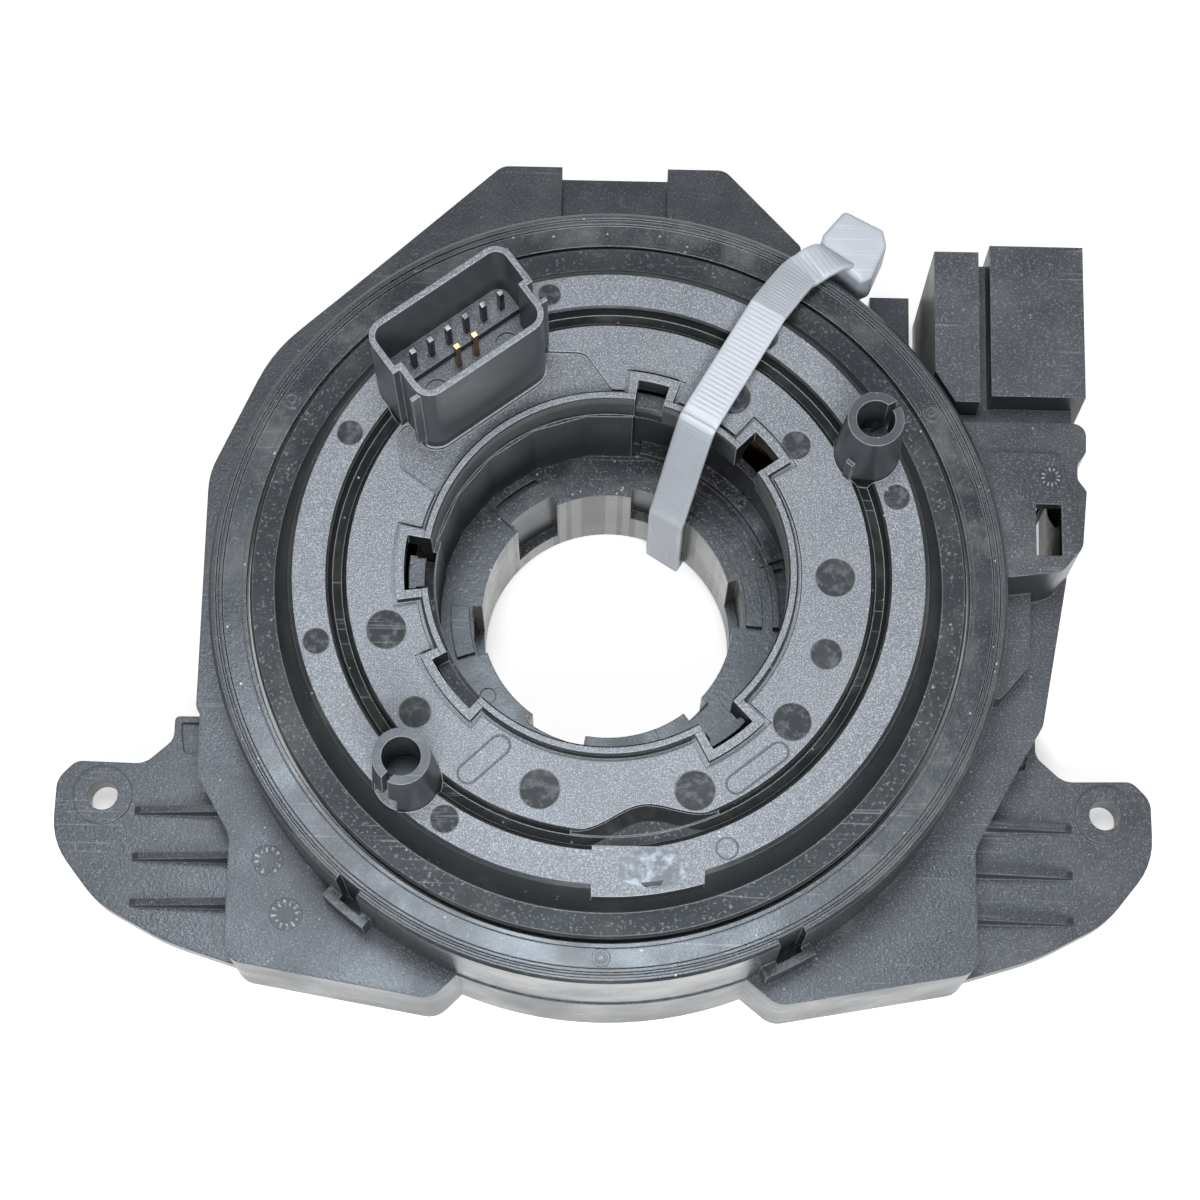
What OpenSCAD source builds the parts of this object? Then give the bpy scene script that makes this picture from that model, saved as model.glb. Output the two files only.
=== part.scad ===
// Steering column clock spring with a built-in steering angle sensor.
// A ribbon cable, wound between the fixed housing and the turning face, keeps the wheel's circuits
// joined while the wheel turns. A toothed ring on the hub drives two small gears whose magnets are
// read from the circuit board, and their tooth counts differ, so each angle gives its own pair.
// A nylon tie through the bore holds the face at its centre position until the spring is fitted.
// Lengths are in millimetres. Angles are in degrees from +X towards +Y. The origin is on the bore's
// axis at the hub's rear face, +Z points to the steering wheel and +Y is the top.

/* [Housing] */
// Height of the base's front plate
base_top = 15; // [14.5:0.25:15.5]
// How far the feet stand behind the hub's rear face
foot_depth = 2; // [2:0.25:3]
// Wall of the base, its lobes and its pocket
wall = 1.8; // [1.5:0.1:2.2]
// Outside radius of the drum
drum_r = 48.2; // [48.1:0.1:48.4]
// Outside radius of the cable chamber's wall, under the cover ring
chamber_wall_r = 46; // [45.8:0.1:46.1]
// Inside radius of the chambers
chamber_r = 44.2; // [43.9:0.1:44.4]
// Top of the tall pocket beside the ring
pocket_top = 28; // [27:0.5:28.5]
// Top of the low duct between the pocket and the flank
duct_top = 19.5; // [18:0.5:21]

/* [Wings] */
// Front face of the wings
wing_top = 7; // [6:0.5:8]
// Thickness of the wings
wing_t = 1.6; // [1.2:0.1:2]
// Height of the wings' edge
wing_edge = 3; // [2.5:0.25:4]
// Distance of the fixing holes from the centre line
hole_x = 62.8; // [62:0.1:63.5]
// Distance of the fixing holes below the axis
hole_y = 22; // [21.5:0.1:22.5]
// Radius of the fixing holes
hole_r = 1.9; // [1.6:0.1:2.2]

/* [Cover ring] */
// Front face of the cover ring
ring_top = 31; // [30.8:0.1:31.2]
// Outside radius of the cover ring
ring_r = 48; // [47.8:0.1:48]
// Inside radius of the cover ring's lip
ring_lip_r = 43.3; // [43.2:0.1:43.5]

/* [Rotor face] */
// Front of the rotor's disc
face_z = 36.5; // [36:0.25:37]
// Outside radius of the rotor's flange
flange_r = 42.9; // [42.5:0.1:43]
// Height of the raised rim round the disc over the disc
rim_step = 0.5; // [0.3:0.1:0.8]
// Outside radius of the collar round the hub
collar_r = 22.4; // [22.2:0.1:22.6]
// Height of the collar over the disc
collar_h = 1.1; // [0.8:0.1:1.5]
// Distance of the two hollow posts from the axis
post_at_r = 34.3; // [34:0.1:34.6]
// Height of the posts over the disc
post_h = 12.4; // [10:0.2:13]
// Radius of the bores in the posts
post_bore_r = 2.25; // [2:0.05:2.4]
// Directions of the posts
post_angles = [27, 228];

/* [Header] */
// Direction of the header's long side
header_angle = 36.8; // [36.5:0.1:37]
// Top of the header's shroud
header_top = 55; // [53:0.5:56]
// Floor inside the header's shroud
header_floor = 41.5; // [41:0.25:42]
// Height of the ledge at the back of the floor, where the back row of pins stands
ledge_h = 1.5; // [1:0.25:2]
// Wall of the shroud
shroud_t = 0.7; // [0.6:0.1:0.9]
// Length of the header's pins over its floor
pin_h = 6.5; // [6:0.5:7]
// Distance between pins
pitch = 2.5; // [2.5:0.01:2.54]
// Side of the square pins
pin_w = 0.64; // [0.6:0.02:0.7]

/* [Hub] */
// Radius of the bore for the column
bore_r = 15.6; // [15.4:0.1:15.7]
// Front face of the hub's web, the floor of the well
hub_top = 17; // [16.5:0.25:17.5]
// Radius of the hub where the toothed ring sits
gear_seat_r = 22.9; // [22.8:0.1:23]
// Outside radius of the hub's sleeve
sleeve_r = 23.9; // [23.8:0.1:24]

/* [Angle sensor] */
// Module of the gear teeth
gear_module = 0.8; // [0.8:0.1:0.8]
// Teeth on the hub's ring
main_teeth = 66; // [66:6:66]
// Teeth on the first and the second measuring gear
measuring_teeth = [20, 18];
// Directions of the two measuring gears, on whole teeth of the ring
measuring_angles = [0, 60];
// Play between the teeth along the pitch circle
backlash = 0.16; // [0.12:0.02:0.2]

/* [Ribbon cable] */
// Turns of the ribbon
ribbon_turns = 6; // [4:1:7]
// Width of the ribbon
ribbon_w = 14; // [12:0.5:14]
// Thickness of the ribbon
ribbon_t = 0.3; // [0.2:0.05:0.4]

/* [Cable tie] */
// Width of the strap
strap_w = 4.8; // [4.5:0.1:4.8]
// Thickness of the strap
strap_t = 1; // [0.9:0.05:1]
// Direction in which the strap crosses the face
strap_angle = 60.5; // [60:0.5:61]
// Direction of the tie's head
head_angle = 56.5; // [56:0.5:57]

/* [Hidden] */
$fn = 96;
eps = 0.01;
black = "#26282b";
dark = "#1b1c1f";
grey = "#3a3d41";
green = "#2f5d3a";
tin = "#7d7f80";
gilt = "#c08a4a";
nylon = "#e6e8e8";
amber = "#8a6a2c";

rear_z = -foot_depth;
drum_rear = -0.8;
cover_front = drum_rear + 1.2;
divider_z = 11.5;
divider_t = 1.5;
chamber_floor = divider_z + divider_t;
glide_z = 28.4;
glide_t = 0.6;
ring_under = glide_z + glide_t;
board_z = 2;
board_t = 1.6;
gear_z = 6.5;
gear_w = 3;
shelf_z = 4;
tower_gap_z = 12.5;
flange_z = 32;
flange_foot_z = ring_under + 0.15;
rim_z = face_z + rim_step;
collar_z = face_z + collar_h;
collar_in = 21.3;
skirt_top = 31.5;
plug_top = 28;

// Pin places in the header, back row first, along the header's length and across it
back_row = [for (i = [0:5]) [7.55 - i * pitch, 32.5]];
front_row = [for (i = [0:1]) [2.1 - i * pitch, 30]];
header_pins = concat(back_row, front_row);

// Right-angle pins: the plug's wide cavity has three columns of two, and the narrow one a single one
wide_columns = [for (i = [0:2]) 49.96 + i * pitch];
plug_rows = [[19.5, 13], [16.9, 19]];
column_pins = concat(
    [for (row = plug_rows) for (x = wide_columns)
        [[x, row[0], board_z], [x, row[0], row[1]], [x, 41, row[1]]]],
    [for (row = plug_rows)
        [[46.6, row[0], board_z], [46.6, row[0], row[1]], [46.6, 24.1, row[1]],
         [42.6, 24.1, row[1]], [42.6, 40, row[1]]]]);

chips = [[34.4, 0, 6, 6], [16.8, 29.1, 6, 6], [50.5, 9.5, 8, 6]];

// Outlines. Each corner is [x, y, radius], counted anticlockwise seen from the front.

left_lobe = [
    [-50.2, -12, 0], [-50.2, -20.8, 3], [-45.8, -28.2, 4], [-45.8, -43.6, 2.5], [-20.4, -47.9, 3],
    [-16, -43.5, 1], [-14, -34, 0], [-38, -8, 0]];

right_lobe = [
    [14, -34, 0], [16, -43.4, 1], [21.6, -47.9, 3], [45.9, -43.4, 2.5], [45.6, -28.2, 4],
    [51.6, -17, 4], [54.2, -12.5, 3], [57.4, 6, 2], [58.3, 14, 1], [58.4, 22.9, 1.6], [38, 22.9, 0],
    [42, 0, 0], [36, -20, 0]];

crown = [
    [20.6, 43, 0], [24.2, 50.2, 0.8], [14.1, 60.8, 2.2], [-14.8, 60.8, 2.4], [-29.4, 47.3, 8],
    [-43.4, 34.6, 20], [-50.7, 18, 10], [-50.7, -13, 1], [-40, -13, 0], [-36, 24, 0], [-22, 38, 0],
    [0, 43.5, 0]];

pocket = [
    [42, 2.9, 0], [49, 2.9, 0], [55, 3.8, 3], [57.7, 7, 2], [58.3, 14.2, 0.8], [57.2, 15.7, 0.8],
    [57.2, 17.6, 0.8], [58.3, 19.2, 0.8], [58.4, 22.9, 1.6], [40, 22.9, 0]];

pocket_lid = [
    [43, 2.9, 0], [49, 2.9, 0], [54.9, 3.7, 3], [56.8, 7, 2], [56.2, 13, 4], [54.9, 18.7, 1],
    [42, 18.7, 0]];

duct = [
    [44, -9, 0], [48.3, -10.4, 0.8], [52, -6, 2], [52.3, 4, 0.6], [44, 4.2, 0]];

// The right wing. The left one is its mirror image.
wing = [
    [44, -43.4, 0], [54, -40.3, 30], [62.8, -35.6, 12], [68.8, -28, 9], [68.7, -20, 3],
    [66.4, -17.6, 2], [57.8, -17.8, 3], [54.3, -14.6, 2], [54.3, -11.6, 0.6], [44, -11.6, 0]];

// The framed hollow in each wing's small upper tab
tab_recess = [
    [50.6, -16.6, 0], [53, -16.3, 0.4], [53.4, -13.6, 0.3], [53.4, -12.4, 0.2], [50.6, -12.4, 0]];

// The header's shroud, in its own frame: a wider back and a narrower front
shroud = [
    [-8.6, 24.2, 2.3], [9.15, 24.2, 2.3], [9.15, 29.2, 0], [10, 29.2, 0], [10, 35.6, 2.2],
    [-9.5, 35.6, 2.2], [-9.5, 29.2, 0], [-8.6, 29.2, 0]];

// The lower ground round the header's foot, between the header and the collar
apron = [
    [-19, 8, 0], [-25.2, 12.4, 1.6], [-25.8, 17, 2], [-8, 27.6, 2], [-3.4, 27.5, 1.6],
    [0.6, 22, 0]];

board_outline = [
    [37.5, -21.7, 0], [42.5, -8, 2], [43.2, 5, 0], [55.2, 5, 1], [55.2, 20.8, 1], [38.2, 20.8, 1],
    [25, 35.4, 6], [0, 43.4, 2], [0, 26, 3], [21, 17.5, 10], [26.3, 0, 10], [21.5, -12.4, 2]];

function unit(v) = v / norm(v);

function inward(v) = [-v[1], v[0]];

function polar(r, a) = [r * cos(a), r * sin(a)];

// Points that round the corner b, between a and c, after both its sides move inwards by d
function corner(a, b, c, d) =
    let (e1 = unit([b[0] - a[0], b[1] - a[1]]),
         e2 = unit([c[0] - b[0], c[1] - b[1]]),
         n1 = inward(e1),
         n2 = inward(e2),
         p = [b[0], b[1]] + d * (n1 + n2) / (1 + n1 * n2),
         side = e1[0] * e2[1] - e1[1] * e2[0] >= 0 ? 1 : -1,
         r = max(b[2] - side * d, 0.1),
         turn = acos(max(-1, min(1, e1 * e2))),
         start = p - e1 * r * tan(turn / 2),
         centre = start + side * r * n1,
         arm = start - centre,
         steps = b[2] > 1.2 ? 5 : b[2] > 0 ? 3 : 0)
    steps == 0
        ? [p]
        : [for (i = [0:steps]) let (t = side * turn * i / steps)
            centre + [arm[0] * cos(t) - arm[1] * sin(t), arm[0] * sin(t) + arm[1] * cos(t)]];

function outline(corners, d = 0) =
    let (n = len(corners))
    [for (i = [0:n - 1]) each corner(corners[(i + n - 1) % n], corners[i], corners[(i + 1) % n], d)];

// An upright body whose edges draw in as it rises. Each level is [z, how far the sides have moved in].
module lofted(corners, levels) {
    n = len(outline(corners));
    last = len(levels) - 1;
    points = [for (level = levels) for (p = outline(corners, level[1])) [p[0], p[1], level[0]]];
    sides = [for (k = [0:last - 1]) for (i = [0:n - 1])
        [k * n + i, (k + 1) * n + i, (k + 1) * n + (i + 1) % n, k * n + (i + 1) % n]];
    polyhedron(points, concat(
        [[for (i = [0:n - 1]) i]],
        sides,
        [[for (i = [n - 1:-1:0]) last * n + i]]));
}

// A body with upright walls
module upright(corners, z0, z1, d = 0) {
    translate([0, 0, z0])
        linear_extrude(z1 - z0)
            polygon(outline(corners, d));
}

// The hollow inside such a body, open at the rear
module hollow(corners, z1, d = wall) {
    upright(corners, rear_z - 1, z1, d);
}

// A block round the axis, from angle a0 to a1
module curved_block(r0, r1, z0, z1, a0, a1) {
    rotate([0, 0, a0])
        rotate_extrude(angle = a1 - a0)
            translate([r0, z0])
                square([r1 - r0, z1 - z0]);
}

module tube(r0, r1, z0, z1) {
    translate([0, 0, z0])
        difference() {
            cylinder(r = r1, h = z1 - z0);
            translate([0, 0, -eps])
                cylinder(r = r0, h = z1 - z0 + 2 * eps);
        }
}

// A square bar between two points that share two coordinates
module bar(a, b, w) {
    low = [for (i = [0:2]) min(a[i], b[i]) - w / 2];
    high = [for (i = [0:2]) max(a[i], b[i]) + w / 2];
    translate(low)
        cube(high - low);
}

module bent_pin(path) {
    for (i = [0:len(path) - 2])
        bar(path[i], path[i + 1], pin_w);
}

module mirrored() {
    children();
    mirror([1, 0, 0])
        children();
}

// Housing

module wing_body() {
    upright(wing, wing_top - wing_edge, wing_top);
    translate([hole_x, -hole_y, wing_top - wing_edge - 1])
        cylinder(r = hole_r + 1.8, h = wing_edge + 1.4);
}

// A low rib that climbs from the wing's tip to the lobe's wall
module wing_rib(y) {
    translate([0, y + 0.45, 0])
        rotate([90, 0, 0])
            linear_extrude(0.9)
                polygon([[44, wing_top - 1], [58.6, wing_top - 1], [58.6, wing_top + 0.5],
                         [57.8, wing_top + 1], [44, wing_top + 3.6]]);
}

module base_bodies() {
    translate([0, 0, drum_rear])
        cylinder(r = drum_r, h = base_top - drum_rear);
    cylinder(r = chamber_wall_r, h = glide_z);
    upright(left_lobe, rear_z, base_top);
    upright(right_lobe, rear_z, base_top);
    upright(crown, rear_z, base_top);
    difference() {
        union() {
            upright(pocket, rear_z, pocket_top - 0.8);
            upright(pocket_lid, base_top, pocket_top);
            upright(duct, base_top - 2, duct_top);
        }
        tube(chamber_wall_r, ring_r + 0.1, base_top, pocket_top + 1);
    }
    mirrored()
        wing_body();
    mirrored()
        for (y = [-23.9, -29.8, -35.6])
            wing_rib(y);
    guide_boxes();
}

// The low cable guides behind the ring, between the tie and the plug
module guide_boxes() {
    difference() {
        translate([33.5, 26, rear_z])
            cube([5.1, 20.3, 8 - rear_z]);
        translate([34.7, 34, rear_z - 1])
            cube([2.7, 11.1, 8 - rear_z]);
    }
    translate([40.1, 20, rear_z])
        cube([1.8, 26, 8 - rear_z]);
    translate([41, 20, rear_z])
        cube([16.4, 10, shelf_z - rear_z]);
}

module base_hollows() {
    difference() {
        union() {
            hollow(left_lobe, base_top - wall);
            hollow(right_lobe, base_top - wall);
            hollow(crown, base_top - wall);
        }
        translate([0, 0, rear_z - 2])
            cylinder(r = chamber_wall_r + 0.4, h = base_top + 4);
        lobe_ribs();
        translate([-7, 47.5, tower_gap_z - wall])
            cube([13.7, 16, 5]);
    }
    wing_hollows();
    hollow(pocket, pocket_top - wall, wall);
}

// The open rear of the wings, where the lobes don't cover them
module wing_hollows() {
    mirrored()
        difference() {
            upright(wing, wing_top - wing_edge - 1, wing_top - wing_t, 1.2);
            translate([44, -44, -3])
                cube([7.4, 36, 12]);
            translate([hole_x, -hole_y, -3])
                cylinder(r = hole_r + 1.8, h = 12);
        }
}

// Stiffening ribs in the open rear of the base
module lobe_ribs() {
    for (x = [-39, -28, 28, 39])
        translate([x - 0.6, -50, 3])
            cube([1.2, 40, base_top]);
    for (a = [66, 84, 102, 120, 140, 162])
        rotate([0, 0, a])
            translate([chamber_wall_r, -0.6, 3])
                cube([16, 1.2, base_top]);
}

// The step between the two towers at the top
module tower_gap() {
    translate([-7, 47.5, tower_gap_z])
        cube([13.7, 16, 5]);
    translate([-7, 60.1, rear_z - 1])
        cube([13.7, 3, 20]);
}

module chambers() {
    translate([0, 0, rear_z - 1])
        cylinder(r = chamber_r + 0.8, h = cover_front - rear_z + 1);
    cylinder(r = chamber_r, h = divider_z);
    translate([0, 0, chamber_floor])
        cylinder(r = chamber_r, h = glide_z);
    cylinder(r = sleeve_r + 0.4, h = glide_z);
    // The board's way from the sensor chamber into the pocket
    translate([36, 4.4, drum_rear - 1])
        cube([14, 17, divider_z - drum_rear + 1]);
    // The pins' way from the pocket to the plug
    translate([45.8, 20.5, 10])
        cube([10, 2.4, 12]);
}

// Round columns that hold the board, and the measuring gears' axles, both under the divider
module columns() {
    for (a = [-22, 32, 84])
        translate(concat(polar(41.6, a), board_z + board_t))
            cylinder(r = 1.6, h = divider_z - board_z - board_t + eps);
    for (i = [0:1])
        translate(concat(measuring_place(i), gear_z + 0.6))
            cylinder(r = 1.5, h = divider_z - gear_z);
}

module latch_window() {
    translate([51.9, 5.7, pocket_top - 4])
        cube([3.1, 6.5, 5]);
}

module stator_housing() {
    color(black)
        difference() {
            union() {
                difference() {
                    base_bodies();
                    base_hollows();
                    chambers();
                }
                columns();
            }
            tower_gap();
            latch_window();
            mirrored()
                upright(tab_recess, wing_top - 0.9, wing_top + 1);
            mirrored()
                translate([hole_x, -hole_y, rear_z - 1])
                    cylinder(r = hole_r, h = 20);
        }
}

// Cover ring

// Low bulges of the ring's skirt that snap over the housing, each [from angle, to angle]. The ring's
// edge is open over each one.
snaps = [[227.2, 234.6], [293.6, 301.3]];

module outer_ring() {
    color(dark) {
        difference() {
            union() {
                ring_profile();
                for (s = snaps)
                    curved_block(ring_r - 0.5, 49.5, base_top + 0.3, 20.4, s[0], s[1]);
            }
            for (s = snaps)
                curved_block(47.05, 48.5, base_top + 1.5, ring_top + 1, s[0] + 2.2, s[1] - 1.4);
        }
        for (a = [30, 150, 270])
            translate(concat(polar(45, a), ring_top - 0.2)) {
                tube(0.7, 1.05, 0, 0.45);
                cylinder(r = 0.4, h = 0.45);
            }
    }
}

module ring_profile() {
    rotate_extrude()
        polygon([
            [ring_lip_r, ring_under], [chamber_wall_r + 0.1, ring_under],
            [chamber_wall_r + 0.1, base_top + 0.1], [ring_r, base_top + 0.1],
            [ring_r, ring_top - 0.4], [47.6, ring_top], [47.45, ring_top],
            [47.3, ring_top + 0.25], [47.1, ring_top + 0.25], [46.95, ring_top],
            [46.8, ring_top], [46.65, ring_top + 0.25], [46.35, ring_top + 0.25],
            [46.2, ring_top], [43.95, ring_top], [43.85, ring_top + 0.35],
            [43.4, ring_top + 0.35], [ring_lip_r, ring_top + 0.2]]);
}

// Rotor face

module rotor_face() {
    color(grey)
        difference() {
            union() {
                difference() {
                    face_disc();
                    collar_moats();
                }
                skirt();
                bottom_tab();
                collar_frames();
                header_body();
                for (a = post_angles)
                    post(a);
            }
            face_groove_dip();
            collar_openings();
            header_cavity();
            for (p = header_pins)
                header_frame()
                    translate([p[0] - pin_w / 2, p[1] - pin_w / 2, face_z - 6])
                        cube([pin_w, pin_w, header_floor + ledge_h + 1 - face_z + 6]);
            for (a = post_angles)
                post_cavity(a);
            ejector_marks();
            face_apron();
        }
}

module face_disc() {
    rotate_extrude()
        polygon([
            [collar_in, skirt_top], [22.6, skirt_top], [22.6, 32.6], [23.2, 34.2], [35.8, 34.2],
            [37, 33.6],
            [40.2, flange_foot_z], [flange_r, flange_foot_z], [flange_r, flange_z - 0.3],
            [flange_r - 0.3, flange_z], [39.95, flange_z + 0.1], [39.8, flange_z + 0.3],
            [37.9, rim_z - 0.3], [37.4, rim_z], [33.5, rim_z], [33.2, rim_z - 0.25],
            [32.75, face_z - 1.1], [31.65, face_z - 1.1], [31.3, face_z - 0.25], [31.0, face_z],
            [collar_r + 0.5, face_z], [collar_r + 0.4, face_z - 0.5], [collar_r + 0.05, face_z - 0.5],
            [collar_r, collar_z - 0.25], [collar_r - 0.25, collar_z], [collar_in + 0.2, collar_z],
            [collar_in, collar_z - 0.2]]);
}

// The wall that goes down from the collar to the hub, plain at the lower left and in flat panels
// at the top left. The right side is open below the collar.
panel_angles = [83, 98.5, 116.5, 133.5, 150, 167];

module skirt() {
    difference() {
        curved_block(19, 22.5, hub_top + 0.05, skirt_top + 0.5, 83, 300);
        translate([0, 0, hub_top - 1]) {
            linear_extrude(skirt_top)
                polygon(concat([[0, 0]], [for (a = panel_angles) polar(21.1, a)]));
            rotate([0, 0, 165.5])
                rotate_extrude(angle = 136)
                    square([20.7, skirt_top]);
        }
    }
}

// The flat tab at the bottom, carried out over the cone on upright walls
module bottom_tab() {
    difference() {
        translate([-1.3, -38.9, flange_z - 1])
            cube([13, 6, rim_z - flange_z + 1]);
        tube(38.9, 44, flange_z - 2, rim_z + 1);
        cylinder(r = 31.5, h = 60);
        translate([5.6, -36.2, rim_z - 0.35])
            cylinder(r = 1.6, h = 1);
    }
}

// The groove's dip towards the axis, where it passes round the tab
module face_groove_dip() {
    span = 16;
    middle = 279;
    inner = [for (t = [-span:2:span])
        polar(31.2 - 3 * pow(cos(t / span * 90), 2), middle + t)];
    outer = [for (t = [span:-4:-span]) polar(32.6, middle + t)];
    translate([0, 0, face_z - 0.9])
        linear_extrude(3)
            polygon(concat(inner, outer));
}

// Places where the collar steps outwards round a pocket, each [from angle, to angle, outer radius,
// height that the pocket goes down to]
collar_pockets = [
    [168.5, 189.5, 25.2, 27.2], [71, 85, 25, 27.2], [298, 316, 25.8, 27.2], [33, 48, 25.6, 27.2],
    [206.5, 229.5, 24.4, 33.2]];
hook_pockets = [0, 1, 2];

module collar_frames() {
    for (p = collar_pockets)
        curved_block(collar_r - 0.3, p[2], face_z - 1, collar_z - 0.1, p[0], p[1]);
}

module collar_moats() {
    for (p = collar_pockets)
        curved_block(collar_r, p[2] + 0.55, face_z - 0.5, collar_z + 1, p[0] - 1.4, p[1] + 1.4);
}

module collar_openings() {
    for (p = collar_pockets)
        curved_block(collar_in - 0.4, p[2] - 1, p[3], collar_z + 1, p[0] + 2.4, p[1] - 2.4);
}

module header_frame() {
    rotate([0, 0, header_angle])
        children();
}

module header_body() {
    header_frame() {
        translate([0, 0, face_z - 1.5])
            linear_extrude(header_top - face_z + 1.5)
                polygon(outline(shroud));
        // Small ribs on both short sides that code the plug
        translate([9, 26.6, face_z - 1])
            cube([1.3, 0.5, header_top - face_z]);
        translate([-9.5, 25.5, face_z - 1])
            cube([1.3, 0.5, header_top - face_z]);
    }
}

module header_cavity() {
    header_frame() {
        difference() {
            translate([0, 0, header_floor])
                linear_extrude(header_top - header_floor + 1)
                    polygon(outline(shroud, shroud_t));
            translate([-12, 31.2, header_floor - 1])
                cube([24, 6, ledge_h + 1]);
        }
        for (u = [-4.3, 5.85])
            translate([u, 28.9, header_floor - 0.4])
                cylinder(r = 1.4, h = 1);
    }
}

module face_apron() {
    difference() {
        translate([0, 0, face_z - 0.6])
            linear_extrude(3)
                polygon(outline(apron));
        cylinder(r = collar_r + 0.4, h = 60);
        header_frame()
            linear_extrude(60)
                polygon(outline(shroud, -0.2));
    }
}

module post(a) {
    translate(concat(polar(post_at_r, a), face_z - 1.6)) {
        cylinder(r1 = 4.1, r2 = 3.3, h = post_h + 1.6);
        rotate([0, 0, a + 205])
            translate([0, -0.5, 0])
                cube([4.2, 1, 7]);
    }
}

// The post's bore, the window at its foot on the outer side and the slit from there to its tip
module post_cavity(a) {
    translate(concat(polar(post_at_r, a), face_z + post_h)) {
        translate([0, 0, -10])
            cylinder(r = post_bore_r, h = 11);
        rotate([0, 0, a]) {
            translate([1, -1.6, -11.8])
                cube([4, 3.4, 4.3]);
            translate([1, 0.1, -9])
                cube([4, 0.8, 10]);
        }
    }
}

// Round marks that the mould's ejector pins leave in the disc, each [distance, direction, radius]
marks = [
    [27.1, 196, 2.4], [28.3, 218, 1.9], [27.3, 254, 2.4], [28.1, 292, 2.4], [28, 321, 2.3],
    [27.4, 340, 1.9], [26.8, 0, 2.4], [27.5, 36.5, 1.8], [26.6, 57, 2.2], [35.4, 152, 1.6],
    [35.4, 195, 1.6], [35.3, 238.5, 1.7], [35.5, 16.3, 1.6], [35, 58.6, 1.7], [35.6, 102.7, 1.4]];

module ejector_marks() {
    for (m = marks)
        translate(concat(polar(m[0], m[1]), (m[0] > 33 ? rim_z : face_z) - 0.15))
            cylinder(r = m[2], h = 1);
}

module header_pin(i) {
    color(i < len(back_row) ? tin : gilt)
        header_frame()
            translate([header_pins[i][0] - pin_w / 2, header_pins[i][1] - pin_w / 2, 31])
                cube([pin_w, pin_w, header_floor + pin_h - 31]);
}

// Hub

// Gaps in the hub's front edge, each [from angle, to angle, height that it goes down to]
hub_gaps = [
    [-4, 17, 6], [70, 80, 8], [115, 137, 4], [177, 199, 6], [235, 261, 1], [308, 319, 10]];

module drive_hub() {
    color(dark)
        difference() {
            union() {
                rotate_extrude()
                    polygon([
                        [bore_r, 0], [bore_r + 1.6, 0], [bore_r + 1.6, hub_top - 1.6],
                        [21.2, hub_top - 1.6], [21.2, 0], [gear_seat_r, 0],
                        [gear_seat_r, gear_z + gear_w], [sleeve_r, gear_z + gear_w],
                        [sleeve_r, 27], [22.8, 27], [22.8, hub_top], [bore_r, hub_top]]);
                for (a = [0:60:300])
                    rotate([0, 0, a + 30])
                        translate([bore_r + 1, -0.6, 4])
                            cube([5, 1.2, hub_top - 4.5]);
                hub_hooks();
                hub_relief();
            }
            hub_hollows();
            for (g = hub_gaps)
                curved_block(bore_r - 1, bore_r + 1.2, g[2], hub_top + 2, g[0], g[1]);
        }
}

// The hooks that clip the hub to the face, seen in the collar's open pockets
module hub_hooks() {
    for (i = hook_pockets) {
        p = collar_pockets[i];
        middle = (p[0] + p[1]) / 2;
        curved_block(22.95, sleeve_r - 0.1, 25, 33.5, middle - 5, middle + 5);
        curved_block(21.9, sleeve_r - 0.5, 32, 33.5, middle - 4.5, middle + 4.5);
    }
}

// Raised steps on the hub's front, concentric with the bore
module hub_relief() {
    curved_block(17.1, 19.4, hub_top - eps, hub_top + 1, 178, 198);
    curved_block(17.2, 19.2, hub_top - eps, hub_top + 1, -4, 17);
    curved_block(19.9, 20.5, hub_top - eps, hub_top + 0.5, 19, 72);
    curved_block(21.1, 23.2, hub_top - eps, hub_top + 1.4, 19, 80);
    translate(concat(polar(22, 42), hub_top + 1.3))
        tube(0.4, 0.8, 0, 0.4);
    curved_block(20.5, 21.3, hub_top - eps, hub_top + 1.4, -4, 18);
    curved_block(15.7, 20.4, hub_top - eps, hub_top + 0.6, 262, 293);
    curved_block(16, 19, hub_top - eps, hub_top + 0.7, 114, 138);
}

// Low pads and hollows between the steps
module hub_hollows() {
    curved_block(19.2, 19.9, hub_top - 1.1, hub_top + 2, 118, 136);
    curved_block(16.9, 19.4, hub_top - 0.6, hub_top + 2, 24, 58);
    curved_block(20.7, 22.7, hub_top - 1.2, hub_top + 0.3, 2, 17);
    translate(concat(polar(18, 216), hub_top - 0.2))
        cylinder(r = 1, h = 1);
}

// Column plug

module plug_block(x0, x1, y0, y1) {
    cavity_wall = 1.2;
    difference() {
        translate([x0, y0, shelf_z])
            cube([x1 - x0, y1 - y0, plug_top - shelf_z]);
        translate([x0 + cavity_wall, y0 + 8, shelf_z + cavity_wall])
            cube([x1 - x0 - 2 * cavity_wall, y1 - y0, plug_top - shelf_z - 2 * cavity_wall]);
    }
}

module column_connector() {
    color(dark)
        difference() {
            union() {
                difference() {
                    plug_block(39.8, 45.3, 25.2, 44.9);
                    translate([39.7, 29.3, 0])
                        rotate([0, 0, -58])
                            translate([0, -6, 0])
                                cube([8, 6, 40]);
                }
                plug_block(46.7, 58.3, 26, 45.8);
                translate([44.6, 26, shelf_z])
                    cube([2.8, 19, 19]);
                translate([42.5, 22.9, shelf_z])
                    cube([14.7, 3.4, 19]);
            }
            for (path = column_pins)
                bent_pin(path);
            translate([40.05, 20, 0])
                cube([1.9, 26.1, 8.1]);
        }
}

module column_pin(i) {
    color(tin)
        bent_pin(column_pins[i]);
}

// Inside

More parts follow.
